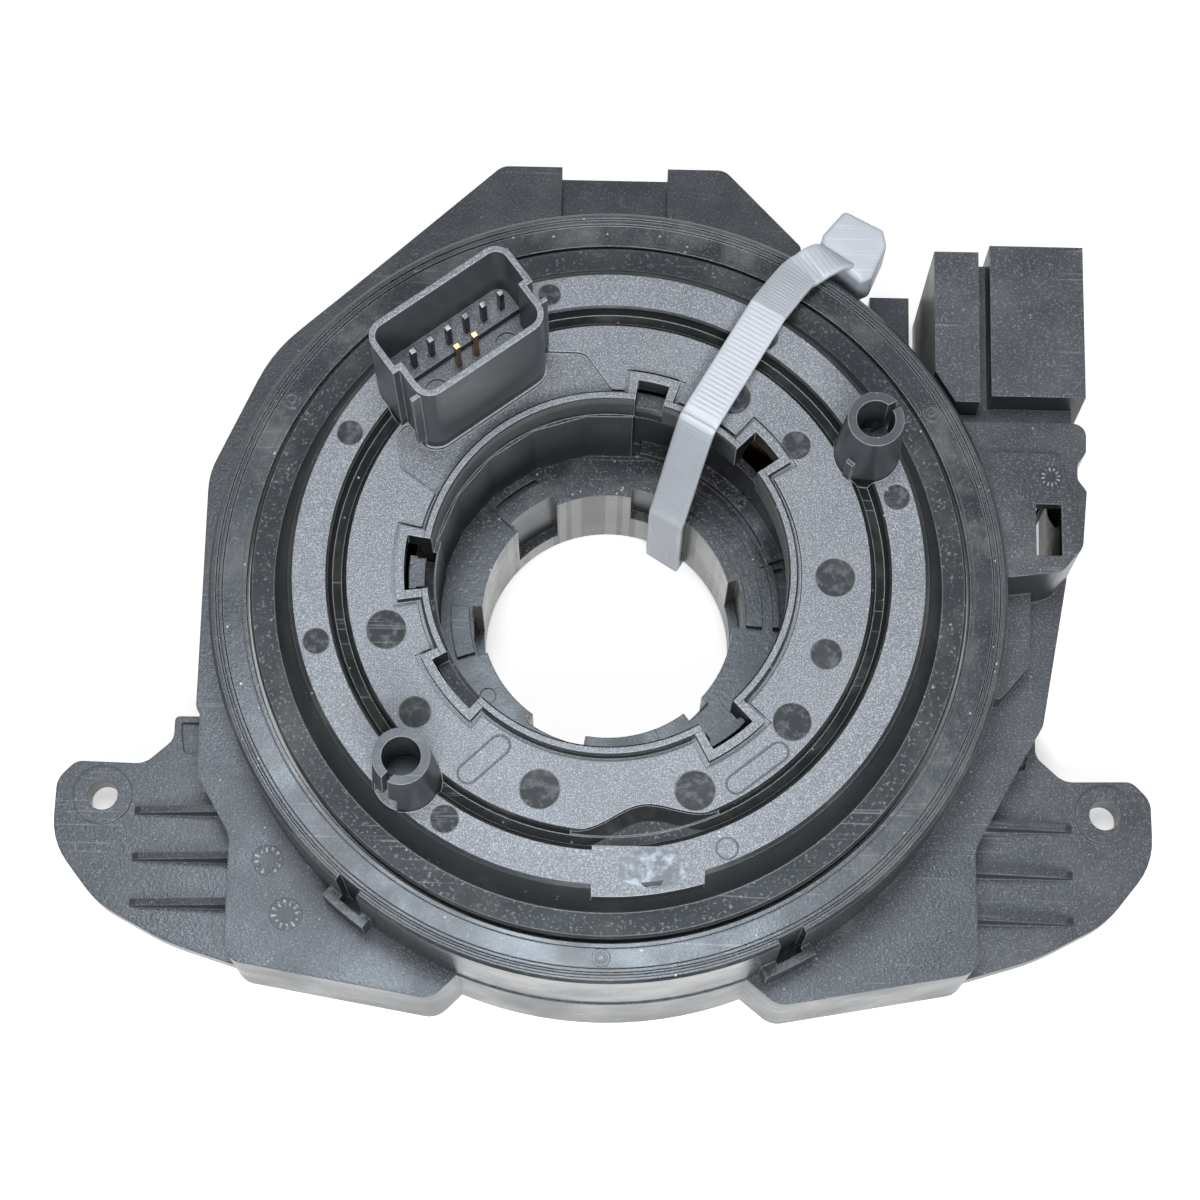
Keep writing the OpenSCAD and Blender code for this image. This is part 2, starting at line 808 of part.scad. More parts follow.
module rear_cover() {
    color(black) {
        difference() {
            union() {
                tube(gear_seat_r + 0.4, chamber_r + 0.7, drum_rear, cover_front);
                translate([40, 5, drum_rear])
                    cube([15.2, 15.8, cover_front - drum_rear]);
            }
            for (a = [100:52:360])
                curved_block(34, 36, drum_rear - 1, drum_rear + 0.4, a, a + 40);
        }
        tube(gear_seat_r + 0.4, gear_seat_r + 1.6, drum_rear, cover_front + 1);
        for (a = [-22, 32, 84])
            translate(concat(polar(41.6, a), cover_front - eps))
                cylinder(r = 1.4, h = board_z - cover_front + eps);
    }
}

module glide_ring() {
    color(nylon)
        tube(40.6, chamber_wall_r, glide_z, glide_z + glide_t);
}

module flat_cable() {
    r0 = 26.8;
    r1 = 42.2;
    steps = 36 * ribbon_turns;
    function coil(r, i) = polar(r + (r1 - r0) * i / steps, 200 + i * 10);
    color(amber)
        translate([0, 0, chamber_floor])
            linear_extrude(ribbon_w)
                polygon(concat(
                    [for (i = [0:steps]) coil(r0 + ribbon_t, i)],
                    [for (i = [steps:-1:0]) coil(r0, i)]));
}

module inner_cable_end() {
    color(grey)
        curved_block(sleeve_r, 26.4, chamber_floor + 0.4, 26.5, 186, 200);
}

module outer_cable_end() {
    color(grey)
        curved_block(42.9, chamber_r, chamber_floor, chamber_floor + ribbon_w, 202, 214);
}

// Gears with involute flanks

function involute(base_r, angle) =
    let (a = angle * PI / 180)
    [base_r * (cos(angle) + a * sin(angle)), base_r * (sin(angle) - a * cos(angle))];

// How far an involute has turned when it reaches radius r
function roll(base_r, r) = sqrt(max(0, pow(r / base_r, 2) - 1)) * 180 / PI;

function flank_angle(base_r, r) =
    let (p = involute(base_r, roll(base_r, r)))
    atan2(p[1], p[0]);

function tooth(teeth, i) =
    let (pitch_r = gear_module * teeth / 2,
         base_r = pitch_r * cos(20),
         root_r = pitch_r - 1.25 * gear_module,
         tip_r = pitch_r + 0.95 * gear_module,
         low_r = max(base_r, root_r),
         half = 90 / teeth - backlash / 4 / pitch_r * 180 / PI + flank_angle(base_r, pitch_r),
         middle = 360 * i / teeth,
         radii = [low_r, pitch_r, tip_r])
    concat(
        [polar(root_r, middle - half)],
        [for (r = radii) polar(r, middle - half + flank_angle(base_r, r))],
        [for (k = [2:-1:0]) polar(radii[k], middle + half - flank_angle(base_r, radii[k]))],
        [polar(root_r, middle + half)]);

module gear(teeth, width) {
    linear_extrude(width)
        polygon([for (i = [0:teeth - 1]) each tooth(teeth, i)]);
}

function measuring_place(i) =
    polar(gear_module * (main_teeth + measuring_teeth[i]) / 2, measuring_angles[i]);

module main_gear() {
    color(nylon)
        translate([0, 0, gear_z])
            difference() {
                gear(main_teeth, gear_w);
                translate([0, 0, -1])
                    cylinder(r = gear_seat_r, h = gear_w + 2);
            }
}

// A measuring gear: teeth, a boss on the axle and a cup for the magnet. It stands half a tooth off.
module angle_gear(i) {
    teeth = measuring_teeth[i];
    color(nylon)
        translate(concat(measuring_place(i), 0))
            rotate([0, 0, measuring_angles[i] + 180 + 180 / teeth])
                difference() {
                    union() {
                        translate([0, 0, gear_z])
                            gear(teeth, gear_w);
                        translate([0, 0, gear_z])
                            cylinder(r = 3, h = divider_z - gear_z - 0.2);
                        translate([0, 0, 4.9])
                            cylinder(r = 3.5, h = gear_z - 4.9 + eps);
                    }
                    translate([0, 0, gear_z + 0.4])
                        cylinder(r = 1.55, h = 10);
                    translate([0, 0, 4])
                        cylinder(r = 2.5, h = gear_z - 4);
                }
}

module magnet(i) {
    color(tin)
        translate(concat(measuring_place(i), 4.9))
            cylinder(r = 2.5, h = gear_z - 4.9);
}

module sensor_board() {
    color(green)
        difference() {
            translate([0, 0, board_z])
                linear_extrude(board_t)
                    polygon(outline(board_outline));
            for (path = column_pins)
                bent_pin(path);
        }
}

module chip(i) {
    c = chips[i];
    color(dark)
        translate([c[0] - c[2] / 2, c[1] - c[3] / 2, board_z + board_t])
            cube([c[2], c[3], 0.9]);
}

// Cable tie. Its strap runs over the ring and the face, down the bore, back behind the housing and
// up into its head. Each station is [radius, height, direction].
strap_route = [
    [51.2, 30.2, head_angle], [50.2, 31.2, head_angle + 0.5], [49, 32, 58], [47.6, 32.4, 59],
    [46, 32.7, strap_angle], [38.2, 37.7, strap_angle], [37, 38.1, strap_angle],
    [30, 38.5, strap_angle], [23, 38.8, strap_angle], [21.3, 38.5, strap_angle],
    [20, 36.6, strap_angle], [15.4, 20, strap_angle], [14.5, 17, strap_angle],
    [14.5, 10, strap_angle], [14.5, 0, strap_angle], [14.9, -1, strap_angle],
    [15.9, -1.45, strap_angle], [30, -1.45, 58.5], [48.1, -1.45, head_angle],
    [49.1, -1.15, head_angle], [49.35, -0.4, head_angle], [49.35, 18, head_angle],
    [49.9, 21.5, head_angle], [51.8, 24.5, head_angle], [52.4, 28, head_angle]];

function strap_point(s) = [s[0] * cos(s[2]), s[0] * sin(s[2]), s[1]];

// The four corners of the strap's section at one station
function strap_section(k) =
    let (n = len(strap_route),
         before = strap_point(strap_route[max(k - 1, 0)]),
         here = strap_point(strap_route[k]),
         after = strap_point(strap_route[min(k + 1, n - 1)]),
         along = unit(unit(here - before + [0, 0, 1e-9]) + unit(after - here + [0, 0, 1e-9])),
         a = strap_route[k][2],
         raw = [-sin(a), cos(a), 0],
         across = unit(raw - (raw * along) * along),
         out = cross(along, across))
    [here + across * strap_w / 2 + out * strap_t / 2, here - across * strap_w / 2 + out * strap_t / 2,
     here - across * strap_w / 2 - out * strap_t / 2, here + across * strap_w / 2 - out * strap_t / 2];

module strap() {
    n = len(strap_route);
    sides = [for (k = [0:n - 2]) for (i = [0:3])
        [4 * k + i, 4 * k + 4 + i, 4 * k + 4 + (i + 1) % 4, 4 * k + (i + 1) % 4]];
    polyhedron([for (k = [0:n - 1]) each strap_section(k)], concat(
        [[0, 1, 2, 3]],
        sides,
        [[4 * n - 1, 4 * n - 2, 4 * n - 3, 4 * n - 4]]));
}

module cable_tie() {
    head = [
        [49.6, -4, 1], [50.6, -4.4, 1], [56.2, -3.4, 1.6], [56.2, 3.4, 1.6], [50.6, 4.4, 1],
        [49.6, 4, 1]];
    color(nylon) {
        strap();
        rotate([0, 0, head_angle])
            lofted(head, [[24.4, 0.8], [25.2, 0], [30.4, 0], [31.4, 0.9]]);
    }
}

stator_housing();
outer_ring();
rotor_face();
drive_hub();
column_connector();
rear_cover();
glide_ring();
flat_cable();
inner_cable_end();
outer_cable_end();
main_gear();
angle_gear(0);  // angle_gear_1
angle_gear(1);  // angle_gear_2
magnet(0);  // magnet_1
magnet(1);  // magnet_2
sensor_board();
cable_tie();
for (i = [1:len(chips)])
    chip(i - 1);
for (i = [1:len(header_pins)])
    header_pin(i - 1);
for (i = [1:len(column_pins)])
    column_pin(i - 1);
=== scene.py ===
"""Looks of a steering column clock spring: finishes, fine parts, light and camera.

Everything is in metres, in the frame's own axes. The bore's axis is Z, the steering wheel is
towards +Z, and the two fixing wings lie towards -Y. Sizes in the classes below are in millimetres
and are turned into metres where a mesh or a material is made.
"""

from __future__ import annotations

import logging
import math
from dataclasses import dataclass
from enum import Enum
from typing import Sequence, Union

import bmesh
import bpy
import numpy as np
from mathutils import Matrix, Vector


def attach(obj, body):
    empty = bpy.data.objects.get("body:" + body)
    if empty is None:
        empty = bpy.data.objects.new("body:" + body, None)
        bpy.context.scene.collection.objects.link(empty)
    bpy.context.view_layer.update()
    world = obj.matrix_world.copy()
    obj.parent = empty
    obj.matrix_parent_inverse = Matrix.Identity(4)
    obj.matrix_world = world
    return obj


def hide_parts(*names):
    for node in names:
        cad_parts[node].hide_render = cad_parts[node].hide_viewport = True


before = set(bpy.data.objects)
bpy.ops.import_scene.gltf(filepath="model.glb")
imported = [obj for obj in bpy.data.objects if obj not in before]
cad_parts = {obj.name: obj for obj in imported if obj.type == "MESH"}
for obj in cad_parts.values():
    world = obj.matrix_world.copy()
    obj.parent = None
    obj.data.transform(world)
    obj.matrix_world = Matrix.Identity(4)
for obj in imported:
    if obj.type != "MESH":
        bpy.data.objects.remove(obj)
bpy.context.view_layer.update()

LOG = logging.getLogger("clock_spring")
MM = 0.001
MERGE_MM = 0.0001
Node = bpy.types.Node
Tree = bpy.types.NodeTree
Socket = bpy.types.NodeSocket
Source = Union[float, tuple, Socket]
Inputs = dict[Union[str, int], Source]
Pair = tuple[float, float]
Triple = tuple[float, float, float]
Colour = Triple
WHITE: Colour = (1.0, 1.0, 1.0)
SCRATCH: Colour = (0.3, 0.31, 0.33)
DUST_FILM: Colour = (0.36, 0.35, 0.33)
DUST_SPECK: Colour = (0.62, 0.6, 0.56)


class Body(str, Enum):
    """The bodies that pieces ride on."""

    STATOR = "stator"


class Slot(str, Enum):
    """The record's material slots."""

    HOUSING = "housing"
    RING = "ring"
    FACE = "face"
    HUB = "hub"
    PLUG = "plug"
    REAR_COVER = "rear_cover"
    GLIDE = "glide"
    RIBBON = "ribbon"
    CABLE_ENDS = "cable_ends"
    GEARS = "gears"
    MAGNETS = "magnets"
    BOARD = "board"
    CHIPS = "chips"
    TIN_PINS = "tin_pins"
    GILT_PINS = "gilt_pins"
    TIE = "tie"


# Surfaces


def tube_faces(rings: int, around: int) -> list[list[int]]:
    """Faces of a closed tube whose point k of ring i has the index i * around + k.

    Args:
        rings: number of rings.
        around: number of points in a ring, anticlockwise as seen from the last ring.

    Returns:
        Its sides as quads and one face across each end, all of them facing out.
    """
    i, k = np.meshgrid(np.arange(rings - 1), np.arange(around), indexing="ij")
    here, after = i * around + k, i * around + (k + 1) % around
    sides = np.stack([after, after + around, here + around, here], -1).reshape(-1, 4)
    last = (rings - 1) * around
    return [*sides.tolist(), list(reversed(range(around))), list(range(last, last + around))]


def mesh_piece(name: str, points_mm: np.ndarray, faces: Sequence[Sequence[int]],
               material: bpy.types.Material, body: Body) -> bpy.types.Object:
    """Makes one smooth object from points and faces, and lets it ride on a body.

    Points that lie on each other are merged, so a ring drawn in to its corners leaves no flat
    faces.

    Args:
        name: the piece's name.
        points_mm: its points in millimetres, one row each.
        faces: lists of indices.
        material: its finish.
        body: the body it rides on.

    Returns:
        The object, at the origin, with its place in its mesh.
    """
    mesh = bpy.data.meshes.new(name)
    mesh.from_pydata((points_mm * MM).tolist(), [], faces)
    shape = bmesh.new()
    shape.from_mesh(mesh)
    bmesh.ops.remove_doubles(shape, verts=shape.verts, dist=MERGE_MM * MM)
    shape.to_mesh(mesh)
    shape.free()
    mesh.polygons.foreach_set("use_smooth", np.ones(len(mesh.polygons), bool))
    mesh.materials.append(material)
    mesh.update()
    made = bpy.data.objects.new(name, mesh)
    bpy.context.scene.collection.objects.link(made)
    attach(made, body.value)
    LOG.info("%s: %d points, %d faces", name, len(mesh.vertices), len(mesh.polygons))
    return made


def smooth_route(stations: np.ndarray, step: float, per_span: int = 24) -> np.ndarray:
    """An even route through the stations, by Catmull-Rom cubics and then by its length.

    Between the stations b and c, with their neighbours a and d, the point at t is
    0.5 (2b + (c - a) t + (2a - 5b + 4c - d) t^2 + (3b - a - 3c + d) t^3).

    Args:
        stations: points of any width, one row each.
        step: the distance between points of the result, by the first three columns.
        per_span: points taken on each cubic before they are spaced evenly.

    Returns:
        The even points, one row each.
    """
    padded = np.vstack([2 * stations[0] - stations[1], stations, 2 * stations[-1] - stations[-2]])
    a, b, c, d = padded[:-3], padded[1:-2], padded[2:-1], padded[3:]
    t = np.linspace(0, 1, per_span, endpoint=False)[:, None, None]
    curve = 0.5 * (2 * b + (c - a) * t + (2 * a - 5 * b + 4 * c - d) * t ** 2
                   + (3 * b - a - 3 * c + d) * t ** 3)
    line = np.vstack([curve.transpose(1, 0, 2).reshape(-1, stations.shape[1]), stations[-1:]])
    length = np.concatenate([[0], np.cumsum(np.linalg.norm(np.diff(line[:, :3], axis=0), axis=1))])
    even = np.linspace(0, length[-1], max(2, int(round(length[-1] / step)) + 1))
    return np.stack([np.interp(even, length, column) for column in line.T], -1)


# Shader graphs


@dataclass(frozen=True)
class Patches:
    """A mask from noise: its scale per metre, where it rises, its detail and its roughness."""

    scale: float
    low: float
    high: float
    detail: float = 2.0
    rough: float = 0.5


DUST_CLOUDS = Patches(140.0, 0.45, 0.75, 4.0, 0.65)
SPECK_PATCHES = Patches(420.0, 0.56, 0.64)
SCUFF_PATCHES = Patches(60.0, 0.5, 0.62)
EJECTOR_MOTTLE = Patches(900.0, 0.45, 0.68, 3.0, 0.7)
FLANGE_FLECKS = Patches(2300.0, 0.56, 0.7, 2.0, 0.7)
GATE_SWIRL = Patches(420.0, 0.42, 0.64, 5.0, 0.7)
INSERT_MOTTLE = Patches(1500.0, 0.35, 0.55, 2.0, 0.6)
TARNISH = Patches(700.0, 0.42, 0.66, 3.0)


class Graph:
    """Adds nodes to one shader tree and links their sockets."""

    def __init__(self, tree: Tree) -> None:
        """Keeps the tree."""
        self.tree = tree

    def feed(self, node: Node, inputs: Inputs) -> None:
        """Links sockets to a node's inputs, and sets the inputs that get a plain value.

        Args:
            node: the node.
            inputs: a value or another node's socket for each input's name or number. A colour
                has three values.
        """
        for key, value in inputs.items():
            if isinstance(value, Socket):
                self.tree.links.new(value, node.inputs[key])
            else:
                opaque = node.inputs[key].type == "RGBA"
                node.inputs[key].default_value = (*value, 1.0) if opaque else value

    def node(self, kind: str, inputs: Inputs | None = None, **settings: object) -> Node:
        """Adds a node.

        Args:
            kind: the node's type name.
            inputs: what its inputs get, as for feed.
            **settings: the node's own settings.

        Returns:
            The node.
        """
        made = self.tree.nodes.new(kind)
        for name, value in settings.items():
            setattr(made, name, value)
        self.feed(made, inputs or {})
        return made

    def math(self, operation: str, a: Source, b: Source = 0.0, clamp: bool = False) -> Socket:
        """The result of one sum on numbers.

        Args:
            operation: the Math node's operation.
            a: first value.
            b: second value.
            clamp: whether the result is kept from 0 to 1.

        Returns:
            The output socket.
        """
        return self.node("ShaderNodeMath", {0: a, 1: b}, operation=operation,
                         use_clamp=clamp).outputs[0]

    def times(self, a: Source, b: Source, clamp: bool = False) -> Socket:
        """a times b."""
        return self.math("MULTIPLY", a, b, clamp)

    def plus(self, a: Source, b: Source, clamp: bool = False) -> Socket:
        """a plus b."""
        return self.math("ADD", a, b, clamp)

    def less(self, a: Source, b: Source) -> Socket:
        """a less b."""
        return self.math("SUBTRACT", a, b)

    def most(self, a: Source, b: Source) -> Socket:
        """The larger of a and b."""
        return self.math("MAXIMUM", a, b)

    def vector(self, operation: str, a: Source, b: Source | None = None,
               scale: Source | None = None, output: str = "Vector") -> Socket:
        """The result of one sum on vectors.

        Args:
            operation: the Vector Math node's operation.
            a: first vector.
            b: second vector, where the operation has one.
            scale: the scale, where the operation has one.
            output: the output's name.

        Returns:
            The output socket.
        """
        inputs: Inputs = {0: a}
        if b is not None:
            inputs[1] = b
        if scale is not None:
            inputs["Scale"] = scale
        return self.node("ShaderNodeVectorMath", inputs, operation=operation).outputs[output]

    def length(self, a: Source) -> Socket:
        """The length of a vector."""
        return self.vector("LENGTH", a, output="Value")

    def flattened(self, a: Source) -> Socket:
        """A vector with its height left out."""
        return self.vector("MULTIPLY", a, (1.0, 1.0, 0.0))

    def parts(self, a: Source) -> tuple[Socket, ...]:
        """The X, Y and Z of a vector."""
        return tuple(self.node("ShaderNodeSeparateXYZ", {0: a}).outputs)

    def blend(self, share: Source, a: Source, b: Source) -> Socket:
        """Colour a where the share is 0, and colour b where it is 1."""
        return self.node("ShaderNodeMix", {0: share, 6: a, 7: b}, data_type="RGBA").outputs[2]

    def ramp(self, value: Source, low: Source, high: Source, to_low: float = 0.0,
             to_high: float = 1.0) -> Socket:
        """A smooth step from to_low at low to to_high at high."""
        return self.node("ShaderNodeMapRange", {
            "Value": value, "From Min": low, "From Max": high, "To Min": to_low,
            "To Max": to_high}, interpolation_type="SMOOTHSTEP").outputs["Result"]

    def vary(self, noise: Source, middle: float, below: float, above: float) -> Socket:
        """A value that noise moves from below its middle to above it."""
        return self.ramp(noise, 0.3, 0.7, middle - below, middle + above)

    def ramp_mm(self, value: Source, ends: Pair) -> Socket:
        """A smooth step of a length, from 0 at the first end to 1 at the second."""
        return self.ramp(value, ends[0] * MM, ends[1] * MM)

    def noise(self, place: Source, scale: Source, detail: float = 2.0, rough: float = 0.5,
              ) -> Socket:
        """Even noise from about 0.3 to 0.7 at a place."""
        return self.node("ShaderNodeTexNoise", {
            "Vector": place, "Scale": scale, "Detail": detail, "Roughness": rough},
            noise_dimensions="3D").outputs["Fac"]

    def patches(self, kind: Patches) -> Socket:
        """A mask from noise at the object's own coordinates."""
        noise = self.noise(self.object_place(), kind.scale, kind.detail, kind.rough)
        return self.ramp(noise, kind.low, kind.high)

    def bump(self, strength: float, depth: float, height: Source, normal: Source | None = None,
             ) -> Socket:
        """A normal bent by a height.

        Args:
            strength: how far it bends, from 0 to 1.
            depth: what a height of 1 stands for, in millimetres.
            height: the height.
            normal: the normal to bend, or None for the face's own.

        Returns:
            The output socket.
        """
        inputs: Inputs = {"Strength": strength, "Distance": depth * MM, "Height": height}
        if normal is not None:
            inputs["Normal"] = normal
        return self.node("ShaderNodeBump", inputs).outputs[0]

    def object_place(self) -> Socket:
        """The point in the object's own coordinates, in metres."""
        return self.node("ShaderNodeTexCoord").outputs["Object"]

    def use(self, group: Tree, **values: float) -> dict[str, Socket]:
        """Places one shader group.

        Args:
            group: the group.
            **values: its inputs, with _ for a space in their names.

        Returns:
            Its outputs by name.
        """
        made = self.node("ShaderNodeGroup", node_tree=group)
        self.feed(made, {name.replace("_", " "): value for name, value in values.items()})
        return dict(made.outputs.items())


def new_group(name: str, inputs: dict[str, float], outputs: dict[str, str],
              ) -> tuple[Graph, Node, Node]:
    """An empty shader group with number inputs and named outputs.

    Args:
        name: the group's name.
        inputs: each number input with its usual value.
        outputs: each output with its socket type's short name, Float or Vector.

    Returns:
        Its graph, its input node and its output node.
    """
    tree = bpy.data.node_groups.new(name, "ShaderNodeTree")
    for label, value in inputs.items():
        tree.interface.new_socket(label, in_out="INPUT",
                                  socket_type="NodeSocketFloat").default_value = value
    for label, kind in outputs.items():
        tree.interface.new_socket(label, in_out="OUTPUT", socket_type=f"NodeSocket{kind}")
    graph = Graph(tree)
    return graph, graph.node("NodeGroupInput"), graph.node("NodeGroupOutput")


@dataclass(frozen=True)
class Groove:
    """Where the face's groove runs, in millimetres and degrees.

    Its inner edge stands at r = inner - bend cos^2(90 t / half_turn), with t the angle from the
    middle, held within half_turn. Rise and fall are its two edges, as distances past that line.
    Its floor fades in between the two heights of floor, and nothing under the foot counts.
    """

    middle: float = 279.0
    half_turn: float = 16.0
    inner: float = 31.1
    bend: float = 3.1
    rise: Pair = (-0.1, 0.15)
    fall: Pair = (2.2, 1.95)
    floor: Pair = (36.42, 36.2)
    foot: float = 35.0


class Effects:
    """The surface effects that the finishes share, each a shader group built once."""

    def __init__(self) -> None:
        """Builds every group."""
        self.grain = self._grain()
        self.edges = self._edges()
        self.level = self._level()
        self.dust = self._dust()
        self.scuffs = self._scuffs()
        self.flutes = self._flutes()
        self.groove = self._groove(Groove())

    def _grain(self) -> Tree:
        """Spark-eroded grain with fibre flecks. Size is the grain's width in millimetres."""
        graph, given, out = new_group("moulded_grain", {"Size": 0.4, "Fleck Share": 0.4},
                                      {"Height": "Float", "Fleck": "Float", "Tone": "Float"})
        fine_scale, fleck_scale, tone_scale = 2.6, 1.9, 90.0
        coarse_share, fine_share = 0.7, 0.3
        no_flecks, fleck_reach, fleck_edge = 0.68, 0.3, 0.12
        place = graph.object_place()
        per_metre = graph.math("DIVIDE", 1.0 / MM, given.outputs["Size"])
        coarse = graph.noise(place, per_metre, 2.0, 0.65)
        fine = graph.noise(place, graph.times(per_metre, fine_scale), 1.0)
        height = graph.plus(graph.times(coarse, coarse_share), graph.times(fine, fine_share))
        fleck = graph.noise(place, graph.times(per_metre, fleck_scale), 2.0, 0.7)
        low = graph.less(no_flecks, graph.times(given.outputs["Fleck Share"], fleck_reach))
        graph.feed(out, {"Height": height,
                         "Fleck": graph.ramp(fleck, low, graph.plus(low, fleck_edge)),
                         "Tone": graph.noise(place, tone_scale, 3.0, 0.6)})
        return graph.tree

    def _edges(self) -> Tree:
        """Small radii on moulded edges. Radius is in millimetres; Edge is 1 on an edge."""
        graph, given, out = new_group("rounded_edges", {"Radius": 0.2},
                                      {"Normal": "Vector", "Edge": "Float"})
        radius = graph.times(given.outputs["Radius"], MM)
        rounded = graph.node("ShaderNodeBevel", {"Radius": radius}, samples=4).outputs["Normal"]
        flat = graph.node("ShaderNodeNewGeometry").outputs["Normal"]
        turn = graph.vector("DOT_PRODUCT", rounded, flat, output="Value")
        graph.feed(out, {"Normal": rounded, "Edge": graph.ramp(graph.less(1.0, turn), 0.02, 0.22)})
        return graph.tree

    def _level(self) -> Tree:
        """1 on faces that look up, 0 on slopes and walls, which finishes paint darker as shade."""
        graph, _, out = new_group("level_faces", {}, {"Level": "Float"})
        up = graph.parts(graph.node("ShaderNodeNewGeometry").outputs["True Normal"])[2]
        graph.feed(out, {"Level": graph.ramp(up, 0.9, 0.99)})
        return graph.tree

    def _groove(self, shape: Groove) -> Tree:
        """The face's polished groove, with its bend round the tab. Band is 1 on its floor."""
        graph, _, out = new_group("face_groove", {}, {"Band": "Float"})
        x, y, up = graph.parts(graph.object_place())
        cosine, sine = math.cos(math.radians(shape.middle)), math.sin(math.radians(shape.middle))
        along = graph.plus(graph.times(x, cosine), graph.times(y, sine))
        across = graph.less(graph.times(y, cosine), graph.times(x, sine))
        turn = graph.math("ABSOLUTE", graph.math("ARCTAN2", across, along))
        held = graph.math("MINIMUM", turn, math.radians(shape.half_turn))
        wave = graph.math("COSINE", graph.times(held, 90.0 / shape.half_turn))
        inner = graph.less(shape.inner * MM, graph.times(graph.times(wave, wave), shape.bend * MM))
        past = graph.less(graph.length(graph.flattened(graph.object_place())), inner)
        band = graph.times(graph.ramp_mm(past, shape.rise), graph.ramp_mm(past, shape.fall))
        above = graph.math("GREATER_THAN", up, shape.foot * MM)
        floor = graph.times(graph.ramp_mm(up, shape.floor), above)
        graph.feed(out, {"Band": graph.times(band, floor)})
        return graph.tree

    def _flutes(self) -> Tree:
        """Upright flats round the bore, of uneven width. Count is the flats in a turn."""
        graph, given, out = new_group("bore_flats", {"Count": 40.0, "Radius": 18.0},
                                      {"Flat": "Float", "Inside": "Float"})
        waves, sway = 13.0, 0.35
        x, y, _ = graph.parts(graph.object_place())
        turn = graph.math("ARCTAN2", y, x)
        steps = graph.times(turn, graph.math("DIVIDE", given.outputs["Count"], 2 * math.pi))
        uneven = graph.plus(steps, graph.times(graph.math("SINE", graph.times(turn, waves)), sway))
        radius = graph.length(graph.flattened(graph.object_place()))
        limit = graph.times(given.outputs["Radius"], MM)
        graph.feed(out, {"Flat": graph.ramp(graph.math("FRACT", uneven), 0.38, 0.46),
                         "Inside": graph.math("LESS_THAN", radius, limit)})
        return graph.tree

    def _dust(self) -> Tree:
        """Settled dust and specks on faces that look up. Amount is from 0 to 1."""
        graph, given, out = new_group("settled_dust", {"Amount": 0.3},
                                      {"Film": "Float", "Speck": "Float"})
        specks_per_metre = 900.0
        normal = graph.node("ShaderNodeNewGeometry").outputs["Normal"]
        up = graph.ramp(graph.parts(normal)[2], 0.1, 0.9)
        specks = graph.node("ShaderNodeTexVoronoi", {
            "Vector": graph.object_place(), "Scale": specks_per_metre}, feature="F1")
        near = graph.ramp(specks.outputs["Distance"], 0.16, 0.1)
        chosen = graph.times(near, graph.patches(SPECK_PATCHES))
        amount = graph.times(up, given.outputs["Amount"])
        graph.feed(out, {"Film": graph.times(graph.patches(DUST_CLOUDS), amount, clamp=True),
                         "Speck": graph.times(chosen, amount, clamp=True)})
        return graph.tree

    def _scuffs(self) -> Tree:
        """Fine handling scratches in two directions, broken up by patches."""
        graph, given, out = new_group("scuffs", {"Amount": 0.3}, {"Mask": "Float"})
        directions, stretch = (0.5, 2.1), (60.0, 2600.0, 60.0)
        streaks = []
        for turn in directions:
            turned = graph.node("ShaderNodeMapping", {
                "Vector": graph.object_place(), "Rotation": (0.0, 0.0, turn), "Scale": stretch})
            streaks.append(graph.ramp(graph.noise(turned.outputs[0], 1.0, 1.0), 0.66, 0.72))
        broken = graph.times(graph.most(*streaks), graph.patches(SCUFF_PATCHES))
        graph.feed(out, {"Mask": graph.times(broken, given.outputs["Amount"], clamp=True)})
        return graph.tree


def spots(name: str, places: Sequence[Triple]) -> Tree:
    """Round marks seen from above.

    Args:
        name: the group's name.
        places: each mark's x, y and radius in millimetres.

    Returns:
        A group with Disc, 1 inside a mark, and Rim, 1 on its outline.
    """
    graph, _, out = new_group(name, {}, {"Disc": "Float", "Rim": "Float"})
    flat = graph.flattened(graph.object_place())
    nearest: Source = 1.0
    for x, y, radius in places:
        away = graph.vector("DISTANCE", flat, (x * MM, y * MM, 0.0), output="Value")
        nearest = graph.math("MINIMUM", nearest, graph.less(away, radius * MM))
    graph.feed(out, {"Disc": graph.ramp_mm(nearest, (0.1, -0.1)),
                     "Rim": graph.ramp_mm(graph.math("ABSOLUTE", nearest), (0.16, 0.04))})
    return graph.tree


def capsules(name: str, places: Sequence[tuple[Pair, Pair, float]]) -> Tree:
    """Outlines of bars with round ends, seen from above.

    Args:
        name: the group's name.
        places: for each, the two ends of its middle line and its half width in millimetres.

    Returns:
        A group with Line, 1 on an outline.
    """
    graph, _, out = new_group(name, {}, {"Line": "Float"})
    flat = graph.flattened(graph.object_place())
    nearest: Source = 1.0
    for a, b, half in places:
        start = np.array([a[0], a[1], 0.0]) * MM
        run = np.array([b[0], b[1], 0.0]) * MM - start
        there = graph.vector("SUBTRACT", flat, tuple(start))
        share = graph.math("DIVIDE", graph.vector("DOT_PRODUCT", there, tuple(run),
                                                  output="Value"), float(run @ run), clamp=True)
        foot = graph.vector("SCALE", tuple(run), scale=share)
        away = graph.vector("DISTANCE", there, foot, output="Value")
        nearest = graph.math("MINIMUM", nearest, graph.less(away, half * MM))
    graph.feed(out, {"Line": graph.ramp_mm(graph.math("ABSOLUTE", nearest), (0.2, 0.06))})
    return graph.tree


# Finishes


def dimmed(colour: Colour, share: float) -> Colour:
    """A colour times a share."""
    return tuple(c * share for c in colour)


@dataclass
class Layers:
    """What a finish has mixed so far, as sockets."""

    colour: Socket
    rough: Socket
    height: Socket


